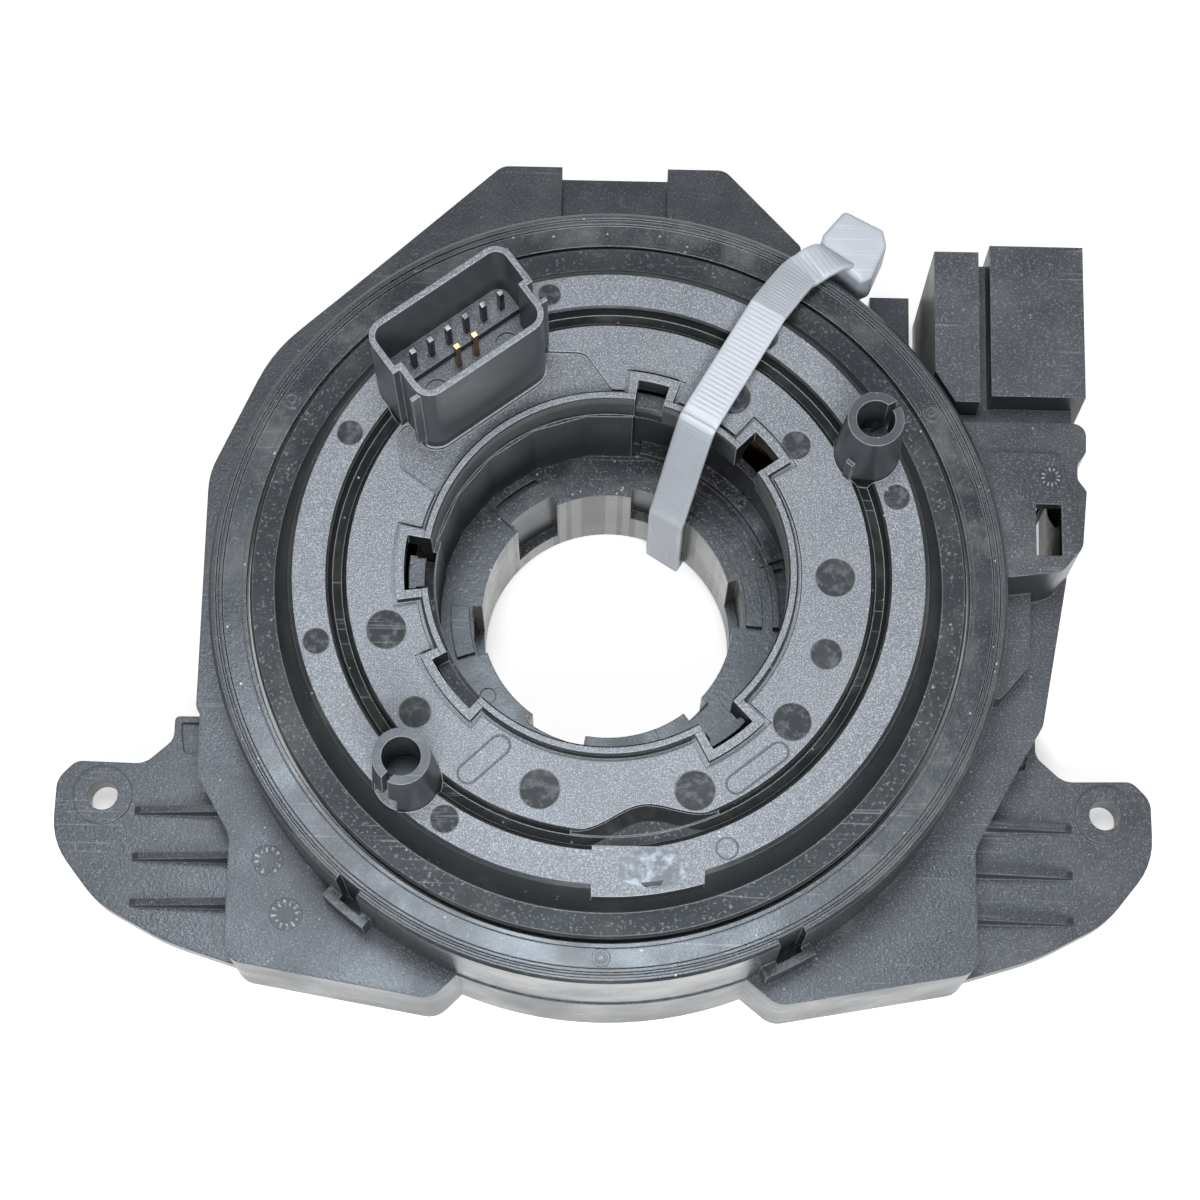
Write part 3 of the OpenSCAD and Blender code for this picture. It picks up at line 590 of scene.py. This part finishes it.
@dataclass(frozen=True)
class Finish:
    """What every finish has. Colours are linear. Lengths are in millimetres."""

    name: str
    colour: Colour

    def build(self, effects: Effects) -> bpy.types.Material:
        """Makes the material.

        Args:
            effects: the shared effects.

        Returns:
            The material.
        """
        material = bpy.data.materials.new(self.name)
        material.use_nodes = True
        shader = next(n for n in material.node_tree.nodes if n.type == "BSDF_PRINCIPLED")
        self.shade(Graph(material.node_tree), shader, effects)
        return material

    def shade(self, graph: Graph, shader: Node, effects: Effects) -> None:
        """Mixes the finish and gives it to the material's Principled node.

        Args:
            graph: the material's graph.
            shader: its Principled node.
            effects: the shared effects.
        """
        raise NotImplementedError

    def darker(self, share: float) -> Colour:
        """The body colour times a share."""
        return dimmed(self.colour, share)


@dataclass(frozen=True)
class MouldedPlastic(Finish):
    """Glass-filled plastic from a textured mould."""

    fleck_colour: Colour
    grain: float = 0.45
    depth: float = 0.03
    fleck_share: float = 0.4
    fleck_strength: float = 0.5
    roughness: float = 0.4
    spread: float = 0.07
    # Painted shade: slopes and walls take the body colour times this share.
    slope_shade: float = 1.0
    edge_radius: float = 0.2
    # Edges are painted lighter: partly real wear, partly a painted highlight where rounded edges
    # catch the lamp.
    wear_and_glint: float = 0.3
    dust: float = 0.3
    scuffs: float = 0.3
    ior: float = 1.45
    sheen_tint: Colour = (0.78, 0.89, 1.0)
    tone_shade: float = 0.75
    film_colour: float = 0.25
    film_rough: float = 0.15

    def shade(self, graph: Graph, shader: Node, effects: Effects) -> None:
        """Mixes grain, painted slope shade, marks, edges with wear and painted highlight,
        scratches and dust, in that order.
        """
        grain = graph.use(effects.grain, Size=self.grain, Fleck_Share=self.fleck_share)
        edges = graph.use(effects.edges, Radius=self.edge_radius)
        dust = graph.use(effects.dust, Amount=self.dust)
        scuffs = graph.use(effects.scuffs, Amount=self.scuffs)
        level = graph.use(effects.level)["Level"]
        tone, film = grain["Tone"], dust["Film"]
        body = graph.blend(graph.ramp(tone, 0.35, 0.65), self.darker(self.tone_shade), self.colour)
        flecked = graph.blend(graph.times(grain["Fleck"], self.fleck_strength), body,
                              self.fleck_colour)
        # Painted shade: faces that don't look up get a darker copy of the body colour.
        sloped = graph.blend(level, self.darker(self.slope_shade), flecked)
        rough = graph.vary(tone, self.roughness, self.spread, self.spread)
        layers = self.mark(graph, effects, level, Layers(sloped, rough, grain["Height"]))
        # Lighter edges: partly real wear, partly a painted highlight standing in for glints on
        # rounded edges.
        gain, lift = 1.6, 0.05
        edge_wear_and_glint_colour = tuple(min(1.0, c * gain + lift) for c in self.fleck_colour)
        worn_and_glinting = graph.blend(graph.times(edges["Edge"], self.wear_and_glint, clamp=True),
                           layers.colour, edge_wear_and_glint_colour)
        scratched = graph.blend(graph.times(scuffs["Mask"], level), worn_and_glinting, SCRATCH)
        dusty = graph.blend(graph.times(film, self.film_colour), scratched, DUST_FILM)
        graph.feed(shader, {
            "Base Color": graph.blend(dust["Speck"], dusty, DUST_SPECK),
            "Roughness": graph.plus(layers.rough, graph.times(film, self.film_rough), clamp=True),
            "Normal": graph.bump(1.0, self.depth, layers.height, edges["Normal"]),
            "IOR": self.ior, "Specular Tint": self.sheen_tint})

    def mark(self, graph: Graph, effects: Effects, level: Socket, layers: Layers) -> Layers:
        """Adds the marks of one piece. The plain finish has none.

        Args:
            graph: the material's graph.
            effects: the shared effects.
            level: 1 on faces that look up.
            layers: the finish so far.

        Returns:
            The finish with its marks.
        """
        return layers


@dataclass(frozen=True)
class FacePlastic(MouldedPlastic):
    """The rotor face, with its dark flange, painted shade on its groove, walls and deep hollows,
    and the marks of its mould.

    Marks are given by x, y and radius, ejectors by distance, angle and radius. The flange fades
    in and the upper forms start between the two heights that each has.
    """

    ejectors: tuple[Triple, ...] = (
        (27.1, 196, 2.4), (28.3, 218, 1.9), (27.3, 254, 2.4), (28.1, 292, 2.4), (28, 321, 2.3),
        (27.4, 340, 1.9), (26.8, 0, 2.4), (27.5, 36.5, 1.8), (26.6, 57, 2.2), (35.4, 152, 1.6),
        (35.4, 195, 1.6), (35.3, 238.5, 1.7), (35.5, 16.3, 1.6), (35, 58.6, 1.7),
        (35.6, 102.7, 1.4))
    fields: tuple = (((-15.9, -24.6), (-12.3, -21.2), 1.2), ((15.3, -25.2), (20.2, -21.3), 1.15))
    ring: Triple = (14.3, -32.9, 1.25)
    posts: tuple[Triple, ...] = ((30.56, 15.57, 5.2), (-22.95, -25.49, 5.2))
    flange: Pair = (36.0, 35.6)
    upper: Pair = (37.9, 38.3)
    gate: Triple = (5.8, -35.4, 3.9)
    gate_stretch: Triple = (0.86, 1.45, 0.0)
    gate_colour: Colour = (0.42, 0.48, 0.56)
    disc_rough: float = 0.3
    flange_rough: float = 0.14
    groove_rough: float = 0.5
    smoothed: float = 0.75
    line_shade: float = 0.85
    line_depth: float = 0.8

    def mark(self, graph: Graph, effects: Effects, level: Socket, layers: Layers) -> Layers:
        """Adds the flange, painted shade on the groove, walls and hollows, post tops, outlines and
        smooth marks.
        """
        polar = [(r * math.cos(math.radians(a)), r * math.sin(math.radians(a)), size)
                 for r, a, size in self.ejectors]
        ejectors = graph.use(spots("ejector_marks", polar))["Disc"]
        ring = graph.use(spots("ring_mark", [self.ring]))["Rim"]
        fields = graph.use(capsules("outlined_fields", self.fields))["Line"]
        posts = graph.use(spots("post_tops", self.posts))["Disc"]
        groove = graph.use(effects.groove)["Band"]
        up = graph.parts(graph.object_place())[2]
        low, high = graph.ramp_mm(up, self.flange), graph.ramp_mm(up, self.upper)
        disc = graph.times(ejectors, level)
        lines = graph.times(graph.most(fields, ring), level)
        gate = self._gate(graph, level)
        colour = layers.colour
        for mask, shown in (
                (disc, self._speckled(graph, EJECTOR_MOTTLE, 0.13, self.darker(0.6))),
                # Below the flange height: the flange's own darker gloss, and painted shade in the
                # deep hollows there.
                (graph.times(low, level),
                 self._speckled(graph, FLANGE_FLECKS, 0.06, self.darker(0.9))),
                # Painted shade: the groove's floor is painted near black.
                (groove, self.darker(0.02)),
                # Painted shade: walls above the upper height get a lighter shade than the slopes
                # below.
                (graph.times(graph.less(1.0, level), high), self.darker(0.4)),
                (graph.times(posts, high), self.darker(0.25)),
                (graph.times(lines, self.line_shade), self.darker(0.2)),
                (gate, self._speckled(graph, GATE_SWIRL, 0.8, self.gate_colour))):
            colour = graph.blend(mask, colour, shown)
        dull = graph.most(graph.most(graph.times(disc, self.disc_rough),
                                     graph.times(low, self.flange_rough)),
                          graph.times(groove, self.groove_rough))
        smooth = graph.times(graph.most(graph.most(disc, gate), groove), self.smoothed)
        height = graph.times(layers.height, graph.less(1.0, smooth))
        return Layers(colour, graph.plus(layers.rough, dull, clamp=True),
                      graph.less(height, graph.times(lines, self.line_depth)))

    def _speckled(self, graph: Graph, kind: Patches, share: float, other: Colour) -> Socket:
        """The body colour times a share, with another colour in patches."""
        return graph.blend(graph.patches(kind), self.darker(share), other)

    def _gate(self, graph: Graph, level: Socket) -> Socket:
        """The gate's mask: an oval whose outline wanders with noise."""
        x, y, radius = self.gate
        edge, sway = (0.9, 0.4), 2.2
        from_gate = graph.vector("SUBTRACT", graph.object_place(), (x * MM, y * MM, 0.0))
        oval = graph.length(graph.vector("MULTIPLY", from_gate, self.gate_stretch))
        wander = graph.times(graph.noise(graph.object_place(), 260.0, 2.0), sway * MM)
        inside = graph.ramp_mm(graph.plus(oval, wander), (radius + edge[0], radius + edge[1]))
        return graph.times(inside, level)


@dataclass(frozen=True)
class HousingPlastic(MouldedPlastic):
    """The housing, with the plain round insert marks of its mould by x, y and radius."""

    inserts: tuple[Triple, ...] = ((-40.9, -31.3, 1.9), (-38.4, -37.9, 2.0), (53.8, 15.7, 1.3))
    tick_count: float = 12.0
    tick_colour: Colour = (0.3, 0.315, 0.35)

    def mark(self, graph: Graph, effects: Effects, level: Socket, layers: Layers) -> Layers:
        """Adds the insert marks: a disc with uneven radial ticks in a thin dark ring."""
        marks = graph.use(spots("insert_marks", self.inserts))
        disc = graph.times(marks["Disc"], level)
        rim = graph.times(marks["Rim"], level)
        ticks: Source = 0.0
        for insert in self.inserts:
            ticks = graph.most(ticks, self._ticks(graph, *insert))
        mottled = graph.times(ticks, graph.patches(INSERT_MOTTLE))
        inner = graph.blend(mottled, self.darker(0.5), self.tick_colour)
        colour = graph.blend(graph.times(disc, 0.8), layers.colour, inner)
        colour = graph.blend(graph.times(rim, 0.6), colour, self.darker(0.2))
        raised = graph.times(graph.times(disc, mottled), 1.6)
        return Layers(colour, layers.rough, graph.plus(layers.height, raised))

    def _ticks(self, graph: Graph, x: float, y: float, radius: float) -> Socket:
        """Radial ticks in a band round the middle of one mark."""
        there = graph.vector("SUBTRACT", graph.object_place(), (x * MM, y * MM, 0.0))
        across, along, _ = graph.parts(there)
        turn = graph.math("ARCTAN2", along, across)
        wave = graph.ramp(graph.math("SINE", graph.times(turn, self.tick_count)), -0.2, 0.3)
        away = graph.length(graph.flattened(there))
        band = graph.times(graph.ramp_mm(away, (0.5 * radius, 0.58 * radius)),
                           graph.ramp_mm(away, (0.98 * radius, 0.9 * radius)))
        return graph.times(wave, band)


@dataclass(frozen=True)
class HubPlastic(MouldedPlastic):
    """The hub, whose bore wall is painted pale as a reflection of the floor, most on its upright
    flats.
    """

    bore_reflection_colour: Colour = (0.2, 0.195, 0.18)
    flat_count: float = 34.0
    bore_reach: float = 16.6
    least_reflection: float = 0.35

    def mark(self, graph: Graph, effects: Effects, level: Socket, layers: Layers) -> Layers:
        """Paints the bore's wall pale as a painted reflection of the floor, most on its flats."""
        flutes = graph.use(effects.flutes, Count=self.flat_count, Radius=self.bore_reach)
        wall = graph.times(flutes["Inside"], graph.less(1.0, level))
        strength = graph.plus(self.least_reflection,
                              graph.times(flutes["Flat"], 1.0 - self.least_reflection))
        # Painted reflection: the bore wall takes a pale beige, as the floor seen at a grazing
        # angle.
        colour = graph.blend(graph.times(wall, strength), layers.colour, self.bore_reflection_colour)
        return Layers(colour, layers.rough, layers.height)


@dataclass(frozen=True)
class Nylon(Finish):
    """Natural nylon that lets light through."""

    roughness: float = 0.38
    spread: float = 0.08
    scuff_colour: Colour = (0.95, 0.96, 0.97)
    speck_colour: Colour = (0.45, 0.42, 0.38)

    def shade(self, graph: Graph, shader: Node, effects: Effects) -> None:
        """Mixes a milky body with scuffs and specks, and lets light into it."""
        grain = graph.use(effects.grain, Size=0.9, Fleck_Share=0.3)
        scuffs = graph.use(effects.scuffs, Amount=0.25)
        dust = graph.use(effects.dust, Amount=0.2)
        tone = grain["Tone"]
        clear = graph.blend(graph.ramp(tone, 0.35, 0.65), self.darker(0.9), self.colour)
        marked = graph.blend(scuffs["Mask"], clear, self.scuff_colour)
        graph.feed(shader, {
            "Base Color": graph.blend(dust["Speck"], marked, self.speck_colour),
            "Roughness": graph.vary(tone, self.roughness, self.spread, self.spread),
            "Normal": graph.bump(0.5, 0.012, grain["Height"]),
            "Subsurface Weight": 0.55, "Subsurface Radius": (1.0, 1.0, 0.95),
            "Subsurface Scale": 1.2 * MM})


@dataclass(frozen=True)
class PlatedMetal(Finish):
    """Plated contact metal with draw marks and a little tarnish."""

    tarnish: Colour
    roughness: float = 0.28
    # Painted shade: the share of the tarnish colour that the sides take.
    side_shade: float = 0.6
    spread: Pair = (0.08, 0.14)
    draw_marks: Triple = (9000.0, 9000.0, 500.0)

    def shade(self, graph: Graph, shader: Node, effects: Effects) -> None:
        """Mixes clean and dull metal, with sides in painted shade and marks along Z."""
        grain = graph.use(effects.grain, Size=0.25, Fleck_Share=0.3)
        edges = graph.use(effects.edges, Radius=0.08)
        place = graph.node("ShaderNodeMapping", {
            "Vector": graph.object_place(), "Scale": self.draw_marks}).outputs[0]
        drawn = graph.noise(place, 1.0, 2.0)
        level = graph.use(effects.level)["Level"]
        top = graph.blend(graph.patches(TARNISH), self.colour, self.tarnish)
        height = graph.plus(graph.times(drawn, 0.6), graph.times(grain["Height"], 0.4))
        # Painted shade: sides take the tarnish colour dimmed by side_shade, while faces that look
        # up keep the metal's colour.
        graph.feed(shader, {
            "Base Color": graph.blend(level, dimmed(self.tarnish, self.side_shade), top),
            "Roughness": graph.vary(drawn, self.roughness, *self.spread),
            "Normal": graph.bump(0.6, 0.006, height, edges["Normal"]),
            "Metallic": 1.0})


@dataclass(frozen=True)
class PatternedFilm(Finish):
    """A film or board with copper lines under its lacquer.

    Lines run at even heights along Z where along_z is set, or else as a fine net in X and Y.
    """

    line_colour: Colour
    pitch: float
    along_z: bool
    roughness: float = 0.3
    spread: float = 0.1

    def shade(self, graph: Graph, shader: Node, effects: Effects) -> None:
        """Mixes the lines with the body and puts a clear coat on both."""
        grain = graph.use(effects.grain, Size=0.3, Fleck_Share=0.2)
        line = self._lines(graph)
        coloured = graph.blend(line, self.colour, self.line_colour)
        graph.feed(shader, {
            "Base Color": graph.blend(graph.times(grain["Fleck"], 0.2), coloured,
                                      self.darker(0.5)),
            "Roughness": graph.vary(grain["Tone"], self.roughness, self.spread, self.spread),
            "Normal": graph.bump(0.6, 0.02, line), "Coat Weight": 0.4})

    def _lines(self, graph: Graph) -> Socket:
        """1 on a line and 0 between lines."""
        x, y, z = graph.parts(graph.object_place())
        period = self.pitch * MM
        if self.along_z:
            return graph.ramp(graph.math("PINGPONG", z, period / 2), period * 0.16, period * 0.2)
        bend_scale, bend = 160.0, 6.0
        bent = graph.times(graph.noise(graph.object_place(), bend_scale, 0.0), bend * MM)
        across = graph.math("PINGPONG", graph.plus(x, bent), period / 2)
        down = graph.math("PINGPONG", graph.plus(y, bent), period / 2)
        return graph.most(graph.ramp(across, period * 0.34, period * 0.4),
                          graph.ramp(down, period * 0.4, period * 0.46))


class Finishes:
    """Every finish of the object, by slot."""

    def __init__(self, effects: Effects) -> None:
        """Builds every material.

        Args:
            effects: the shared effects.
        """
        self.by_slot = {slot: kind.build(effects) for slot, kind in self._kinds().items()}

    def _kinds(self) -> dict[Slot, Finish]:
        """The finish of each slot."""
        black, grey = (0.014, 0.0145, 0.016), (0.22, 0.235, 0.26)
        return {
            Slot.HOUSING: HousingPlastic(
                "housing_grain", (0.042, 0.0445, 0.05), grey, grain=0.42, depth=0.035,
                roughness=0.31, fleck_share=0.45, fleck_strength=0.6, slope_shade=0.35,
                edge_radius=0.3, ior=1.5),
            Slot.RING: MouldedPlastic(
                "ring_satin", black, grey, grain=0.6, depth=0.015, roughness=0.25,
                fleck_strength=0.35, edge_radius=0.18, wear_and_glint=0.8, dust=0.8, ior=1.5),
            Slot.FACE: FacePlastic(
                "face_speckle", (0.155, 0.165, 0.185), (0.56, 0.6, 0.67), grain=0.3,
                depth=0.035, roughness=0.36, slope_shade=0.06, fleck_share=0.6,
                fleck_strength=0.55, edge_radius=0.22, wear_and_glint=0.5, dust=0.5),
            Slot.HUB: HubPlastic("hub_satin", black, grey, grain=0.55, depth=0.02,
                                 roughness=0.28, edge_radius=0.16, dust=0.5),
            Slot.PLUG: MouldedPlastic(
                "plug_speckle", (0.05, 0.053, 0.06), grey, grain=0.42, depth=0.035,
                roughness=0.36, fleck_share=0.45, fleck_strength=0.65, slope_shade=0.3),
            Slot.REAR_COVER: MouldedPlastic("rear_cover_satin", black, grey, grain=0.6,
                                            roughness=0.45),
            Slot.GLIDE: MouldedPlastic(
                "glide_ring_white", (0.72, 0.72, 0.7), (0.8, 0.8, 0.78), grain=0.8,
                depth=0.01, roughness=0.3, dust=0.1, scuffs=0.2),
            Slot.RIBBON: PatternedFilm("ribbon_film", (0.55, 0.3, 0.1), (0.78, 0.42, 0.24),
                                       1.7, True),
            Slot.CABLE_ENDS: MouldedPlastic("cable_end_satin", (0.03, 0.03, 0.032), grey,
                                            grain=0.5),
            Slot.GEARS: MouldedPlastic(
                "gear_natural", (0.6, 0.58, 0.52), (0.7, 0.68, 0.62), grain=0.6, depth=0.01,
                roughness=0.35, dust=0.15, edge_radius=0.08),
            Slot.MAGNETS: PlatedMetal("magnet_ground", (0.32, 0.32, 0.34),
                                      (0.16, 0.16, 0.17), 0.35),
            Slot.BOARD: PatternedFilm("board_lacquer", (0.012, 0.09, 0.035),
                                      (0.05, 0.22, 0.08), 2.2, False),
            Slot.CHIPS: MouldedPlastic("chip_epoxy", (0.02, 0.02, 0.021), grey, grain=0.2,
                                       depth=0.01, roughness=0.5, edge_radius=0.06),
            Slot.TIN_PINS: PlatedMetal("tin_plate", (0.34, 0.34, 0.36), (0.13, 0.13, 0.135),
                                       0.3, 0.45),
            Slot.GILT_PINS: PlatedMetal("gilt_plate", (0.8, 0.52, 0.25), (0.5, 0.27, 0.11),
                                        0.26, 0.85),
            Slot.TIE: Nylon("tie_nylon", (0.53, 0.57, 0.63)),
        }

    def dress_frame(self) -> None:
        """Puts each slot's finish on the CAD nodes that carry that slot."""
        for name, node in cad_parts.items():
            for holder in node.material_slots:
                slot = Slot(holder.material.name.split(".")[0])
                holder.material = self.by_slot[slot]
                LOG.info("%s: %s", name, holder.material.name)


# Pieces


@dataclass
class CableTie:
    """The nylon tie that holds the rotor: a ribbed strap and its head.

    Lengths are in millimetres and angles in degrees. The route's stations are distance from the
    bore's axis, height and angle. The head's outline is given at an angle of 0.
    """

    width: float = 4.8
    thick: float = 1.0
    rib_pitch: float = 0.62
    rib_depth: float = 0.07
    steps_per_rib: int = 4
    section_points: int = 20
    section_power: float = 0.35
    plain_edge: float = 0.9
    head_angle: float = 56.0
    head_rounding: float = 0.7
    rounding_steps: int = 6
    head_heights: Pair = (24.4, 31.4)
    head_outline: tuple[Pair, ...] = (
        (49.5, -3.2), (50.9, -4.0), (55.5, -3.1), (57.0, -1.6), (56.4, 3.8), (52.2, 4.2),
        (50.2, 3.5))
    route: tuple[Triple, ...] = (
        (51.3, 28.8, 57.0), (51.0, 30.2, 57.1), (50.4, 31.4, 57.4), (49.5, 32.3, 58.0),
        (48.2, 32.75, 58.8), (46.6, 32.9, 59.6), (44.6, 33.7, 60.3), (38.2, 37.7, 60.5),
        (37.0, 38.1, 60.5), (30.0, 38.5, 60.5), (23.0, 38.8, 60.5), (21.3, 38.5, 60.5),
        (20.0, 36.6, 60.5), (15.4, 20.0, 60.5), (14.5, 17.0, 60.5), (14.5, 10.0, 60.5),
        (14.5, 0.0, 60.5), (14.9, -1.0, 60.5), (15.9, -1.45, 60.5), (30.0, -1.45, 58.5),
        (48.1, -1.45, 56.5), (49.1, -1.15, 56.5), (49.35, -0.4, 56.5), (49.35, 18.0, 56.5),
        (49.9, 21.5, 56.5), (51.8, 24.5, 56.5), (52.4, 28.0, 56.5))

    def build(self, finishes: Finishes) -> None:
        """Makes the strap and the head as one moulding in place of the CAD node.

        Args:
            finishes: the object's finishes.
        """
        (strap, faces), (head, head_faces) = self._strap(), self._head()
        faces += [[k + len(strap) for k in face] for face in head_faces]
        made = mesh_piece("tie_moulding", np.concatenate([strap, head]), faces,
                          finishes.by_slot[Slot.TIE], Body.STATOR)
        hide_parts("cable_tie")

    def _strap(self) -> tuple[np.ndarray, list[list[int]]]:
        """The strap: a rounded bar section carried along the route.

        The section's outline is (|cos a|^p, |sin a|^p) with their signs, times half the width and
        half the thickness. Both faces sink by the depth times (0.5 - 0.5 cos(2 pi s / pitch))
        along the length s, up to a plain edge.
        """
        spot = np.array(self.route)
        angle = np.radians(spot[:, 2])
        stations = np.stack([spot[:, 0] * np.cos(angle), spot[:, 0] * np.sin(angle), spot[:, 1],
                             angle], -1)
        step = self.rib_pitch / self.steps_per_rib
        line = smooth_route(stations, step)
        centre, turn = line[:, :3], line[:, 3]
        along = np.gradient(centre, axis=0)
        along /= np.linalg.norm(along, axis=1, keepdims=True)
        raw = np.stack([-np.sin(turn), np.cos(turn), np.zeros_like(turn)], -1)
        across = raw - (raw * along).sum(1, keepdims=True) * along
        across /= np.linalg.norm(across, axis=1, keepdims=True)
        out = np.cross(along, across)
        around = np.linspace(0, 2 * np.pi, self.section_points, endpoint=False)
        power, half = self.section_power, self.width / 2
        u = np.sign(np.cos(around)) * np.abs(np.cos(around)) ** power * half
        v = np.sign(np.sin(around)) * np.abs(np.sin(around)) ** power * self.thick / 2
        length = np.arange(len(line)) * step
        rib = self.rib_depth * (0.5 - 0.5 * np.cos(2 * np.pi * length / self.rib_pitch))
        inset = np.clip(1 - (np.abs(u) / (half * self.plain_edge)) ** 8, 0, 1) * np.sign(v)
        lift = v[None, :] - rib[:, None] * inset[None, :]
        points = (centre[:, None, :] + across[:, None, :] * u[None, :, None]
                  + out[:, None, :] * lift[..., None]).reshape(-1, 3)
        return points, tube_faces(len(line), len(around))

    def _head(self) -> tuple[np.ndarray, list[list[int]]]:
        """The head: a seven-sided block with rounded edges and corners.

        Each outline point is an inset corner plus the rounding radius along a normal. The layers
        near the top and the foot draw it in by radius times (1 - cos t).
        """
        radius, (foot, top) = self.head_rounding, self.head_heights
        corners = np.array(self.head_outline)
        edge = np.roll(corners, -1, axis=0) - corners
        edge /= np.linalg.norm(edge, axis=1, keepdims=True)
        normal = np.stack([edge[:, 1], -edge[:, 0]], -1)
        before = np.roll(normal, 1, axis=0)
        inset = corners - radius * (before + normal) / (
            1 + (before * normal).sum(1, keepdims=True))
        share = np.linspace(0, 1, self.rounding_steps)[None, :, None]
        fan = before[:, None] * (1 - share) + normal[:, None] * share
        fan /= np.linalg.norm(fan, axis=2, keepdims=True)
        turn = np.linspace(0, np.pi / 2, self.rounding_steps)
        drawn = np.concatenate([radius * (1 - np.sin(turn)), radius * (1 - np.cos(turn))])
        height = np.concatenate([foot + radius * (1 - np.cos(turn)),
                                 top - radius * (1 - np.sin(turn))])
        layers = inset[None, :, None] + fan[None] * (radius - drawn)[:, None, None, None]
        rows, count = len(height), corners.shape[0] * share.size
        points = np.concatenate([layers.reshape(rows, count, 2),
                                 np.broadcast_to(height[:, None, None], (rows, count, 1))], -1)
        angle = math.radians(self.head_angle)
        spin = np.array([[math.cos(angle), -math.sin(angle), 0],
                         [math.sin(angle), math.cos(angle), 0], [0, 0, 1]])
        return points.reshape(-1, 3) @ spin.T, tube_faces(rows, count)


# Studio


@dataclass(frozen=True)
class Lamp:
    """A square soft lamp: its name, its place and side in millimetres, and its power."""

    name: str
    place: Triple
    size: float
    power: float


@dataclass(frozen=True)
class Studio:
    """Pale floor, plain soft light and the camera at the photograph's angle.

    Lengths are in millimetres and angles in degrees.
    """

    tilt: float = 15.466
    roll: float = 1.18
    distance: float = 375.64
    focal: float = 94.1
    sensor: float = 36.0
    clip: Pair = (10.0, 20000.0)
    target: Triple = (-0.97, -1.89, 31.0)
    lamps: tuple[Lamp, ...] = (Lamp("key_light", (-24.0, 48.0, 470.0), 130.0, 0.95),
                               Lamp("fill_light", (25.0, -240.0, 330.0), 160.0, 1.4))
    lit_point: Triple = (0.0, 0.0, 20.0)
    world_strength: float = 0.15
    floor_z: float = -2.2
    floor_reach: float = 3000.0
    floor_glow: float = 0.55
    paper: tuple[Colour, Colour] = ((0.86, 0.86, 0.86), (0.9, 0.9, 0.9))

    def build(self) -> None:
        """Makes the camera, the lamps, the world and the floor."""
        self._camera()
        for lamp in self.lamps:
            self._lamp(lamp)
        self._world()
        self._floor()

    def _camera(self) -> None:
        """Places the camera at the photograph's tilt, roll and distance."""
        tilt, roll = math.radians(self.tilt), math.radians(self.roll)
        back = Vector((0, -math.sin(tilt), math.cos(tilt)))
        level = Vector((1, 0, 0))
        upright = back.cross(level)
        right = level * math.cos(roll) + upright * math.sin(roll)
        up = upright * math.cos(roll) - level * math.sin(roll)
        data = bpy.data.cameras.new("camera")
        data.lens, data.sensor_width, data.sensor_fit = self.focal, self.sensor, "AUTO"
        data.clip_start, data.clip_end = self.clip[0] * MM, self.clip[1] * MM
        camera = bpy.data.objects.new("camera", data)
        bpy.context.scene.collection.objects.link(camera)
        turned = Matrix((right, up, back)).transposed().to_4x4()
        turned.translation = (Vector(self.target) + back * self.distance) * MM
        camera.matrix_world = turned
        bpy.context.scene.camera = camera

    def _lamp(self, lamp: Lamp) -> None:
        """Adds one lamp that looks at the object."""
        data = bpy.data.lights.new(lamp.name, "AREA")
        data.shape, data.size, data.energy = "SQUARE", lamp.size * MM, lamp.power
        made = bpy.data.objects.new(lamp.name, data)
        bpy.context.scene.collection.objects.link(made)
        made.location = Vector(lamp.place) * MM
        towards = Vector(self.lit_point) - Vector(lamp.place)
        made.rotation_euler = towards.to_track_quat("-Z", "Y").to_euler()

    def _by_ray(self, graph: Graph, lights: Socket, shows: Socket) -> Socket:
        """One shader for the light that falls on surfaces, and another for what is seen.

        Args:
            graph: the graph.
            lights: the shader for light on surfaces.
            shows: the shader for camera rays and for rays that metal or glass sends on.

        Returns:
            The output socket.
        """
        path = graph.node("ShaderNodeLightPath")
        sent = graph.most(path.outputs["Is Glossy Ray"], path.outputs["Is Transmission Ray"])
        seen = graph.most(path.outputs["Is Camera Ray"], sent)
        return graph.node("ShaderNodeMixShader", {0: seen, 1: lights, 2: shows}).outputs[0]

    def _world(self) -> None:
        """White to the camera and plain pale light to everything else."""
        world = bpy.data.worlds.new("studio")
        world.use_nodes = True
        bpy.context.scene.world = world
        graph = Graph(world.node_tree)
        world.node_tree.nodes.clear()
        light, seen = [graph.node("ShaderNodeBackground", {"Color": WHITE, "Strength": strength})
                       .outputs[0] for strength in (self.world_strength, 1.0)]
        graph.node("ShaderNodeOutputWorld", {"Surface": self._by_ray(graph, light, seen)})

    def _floor(self) -> None:
        """A wide pale floor under the object, bright to the camera, with a soft shadow on it."""
        reach, z = self.floor_reach * MM, self.floor_z * MM
        mesh = bpy.data.meshes.new("floor")
        corners = [(-reach, -reach, z), (reach, -reach, z), (reach, reach, z), (-reach, reach, z)]
        mesh.from_pydata(corners, [], [(0, 1, 2, 3)])
        floor = bpy.data.objects.new("floor", mesh)
        bpy.context.scene.collection.objects.link(floor)
        material = bpy.data.materials.new("floor_paper")
        material.use_nodes = True
        graph = Graph(material.node_tree)
        material.node_tree.nodes.clear()
        fibres = graph.noise(graph.object_place(), 400.0, 3.0)
        matt = graph.node("ShaderNodeBsdfDiffuse", {
            "Color": graph.blend(fibres, *self.paper)}).outputs[0]
        glow = graph.node("ShaderNodeEmission", {"Color": WHITE, "Strength": self.floor_glow})
        both = graph.node("ShaderNodeAddShader", {0: matt, 1: glow.outputs[0]}).outputs[0]
        graph.node("ShaderNodeOutputMaterial", {"Surface": self._by_ray(graph, matt, both)})
        mesh.materials.append(material)


def main() -> None:
    """Builds the studio, the finishes and the pieces in order."""
    logging.basicConfig(level=logging.INFO, format="%(name)s: %(message)s")
    bpy.context.scene.view_settings.view_transform = "Standard"
    Studio().build()
    finishes = Finishes(Effects())
    finishes.dress_frame()
    CableTie().build(finishes)


if __name__ == "__main__":
    main()
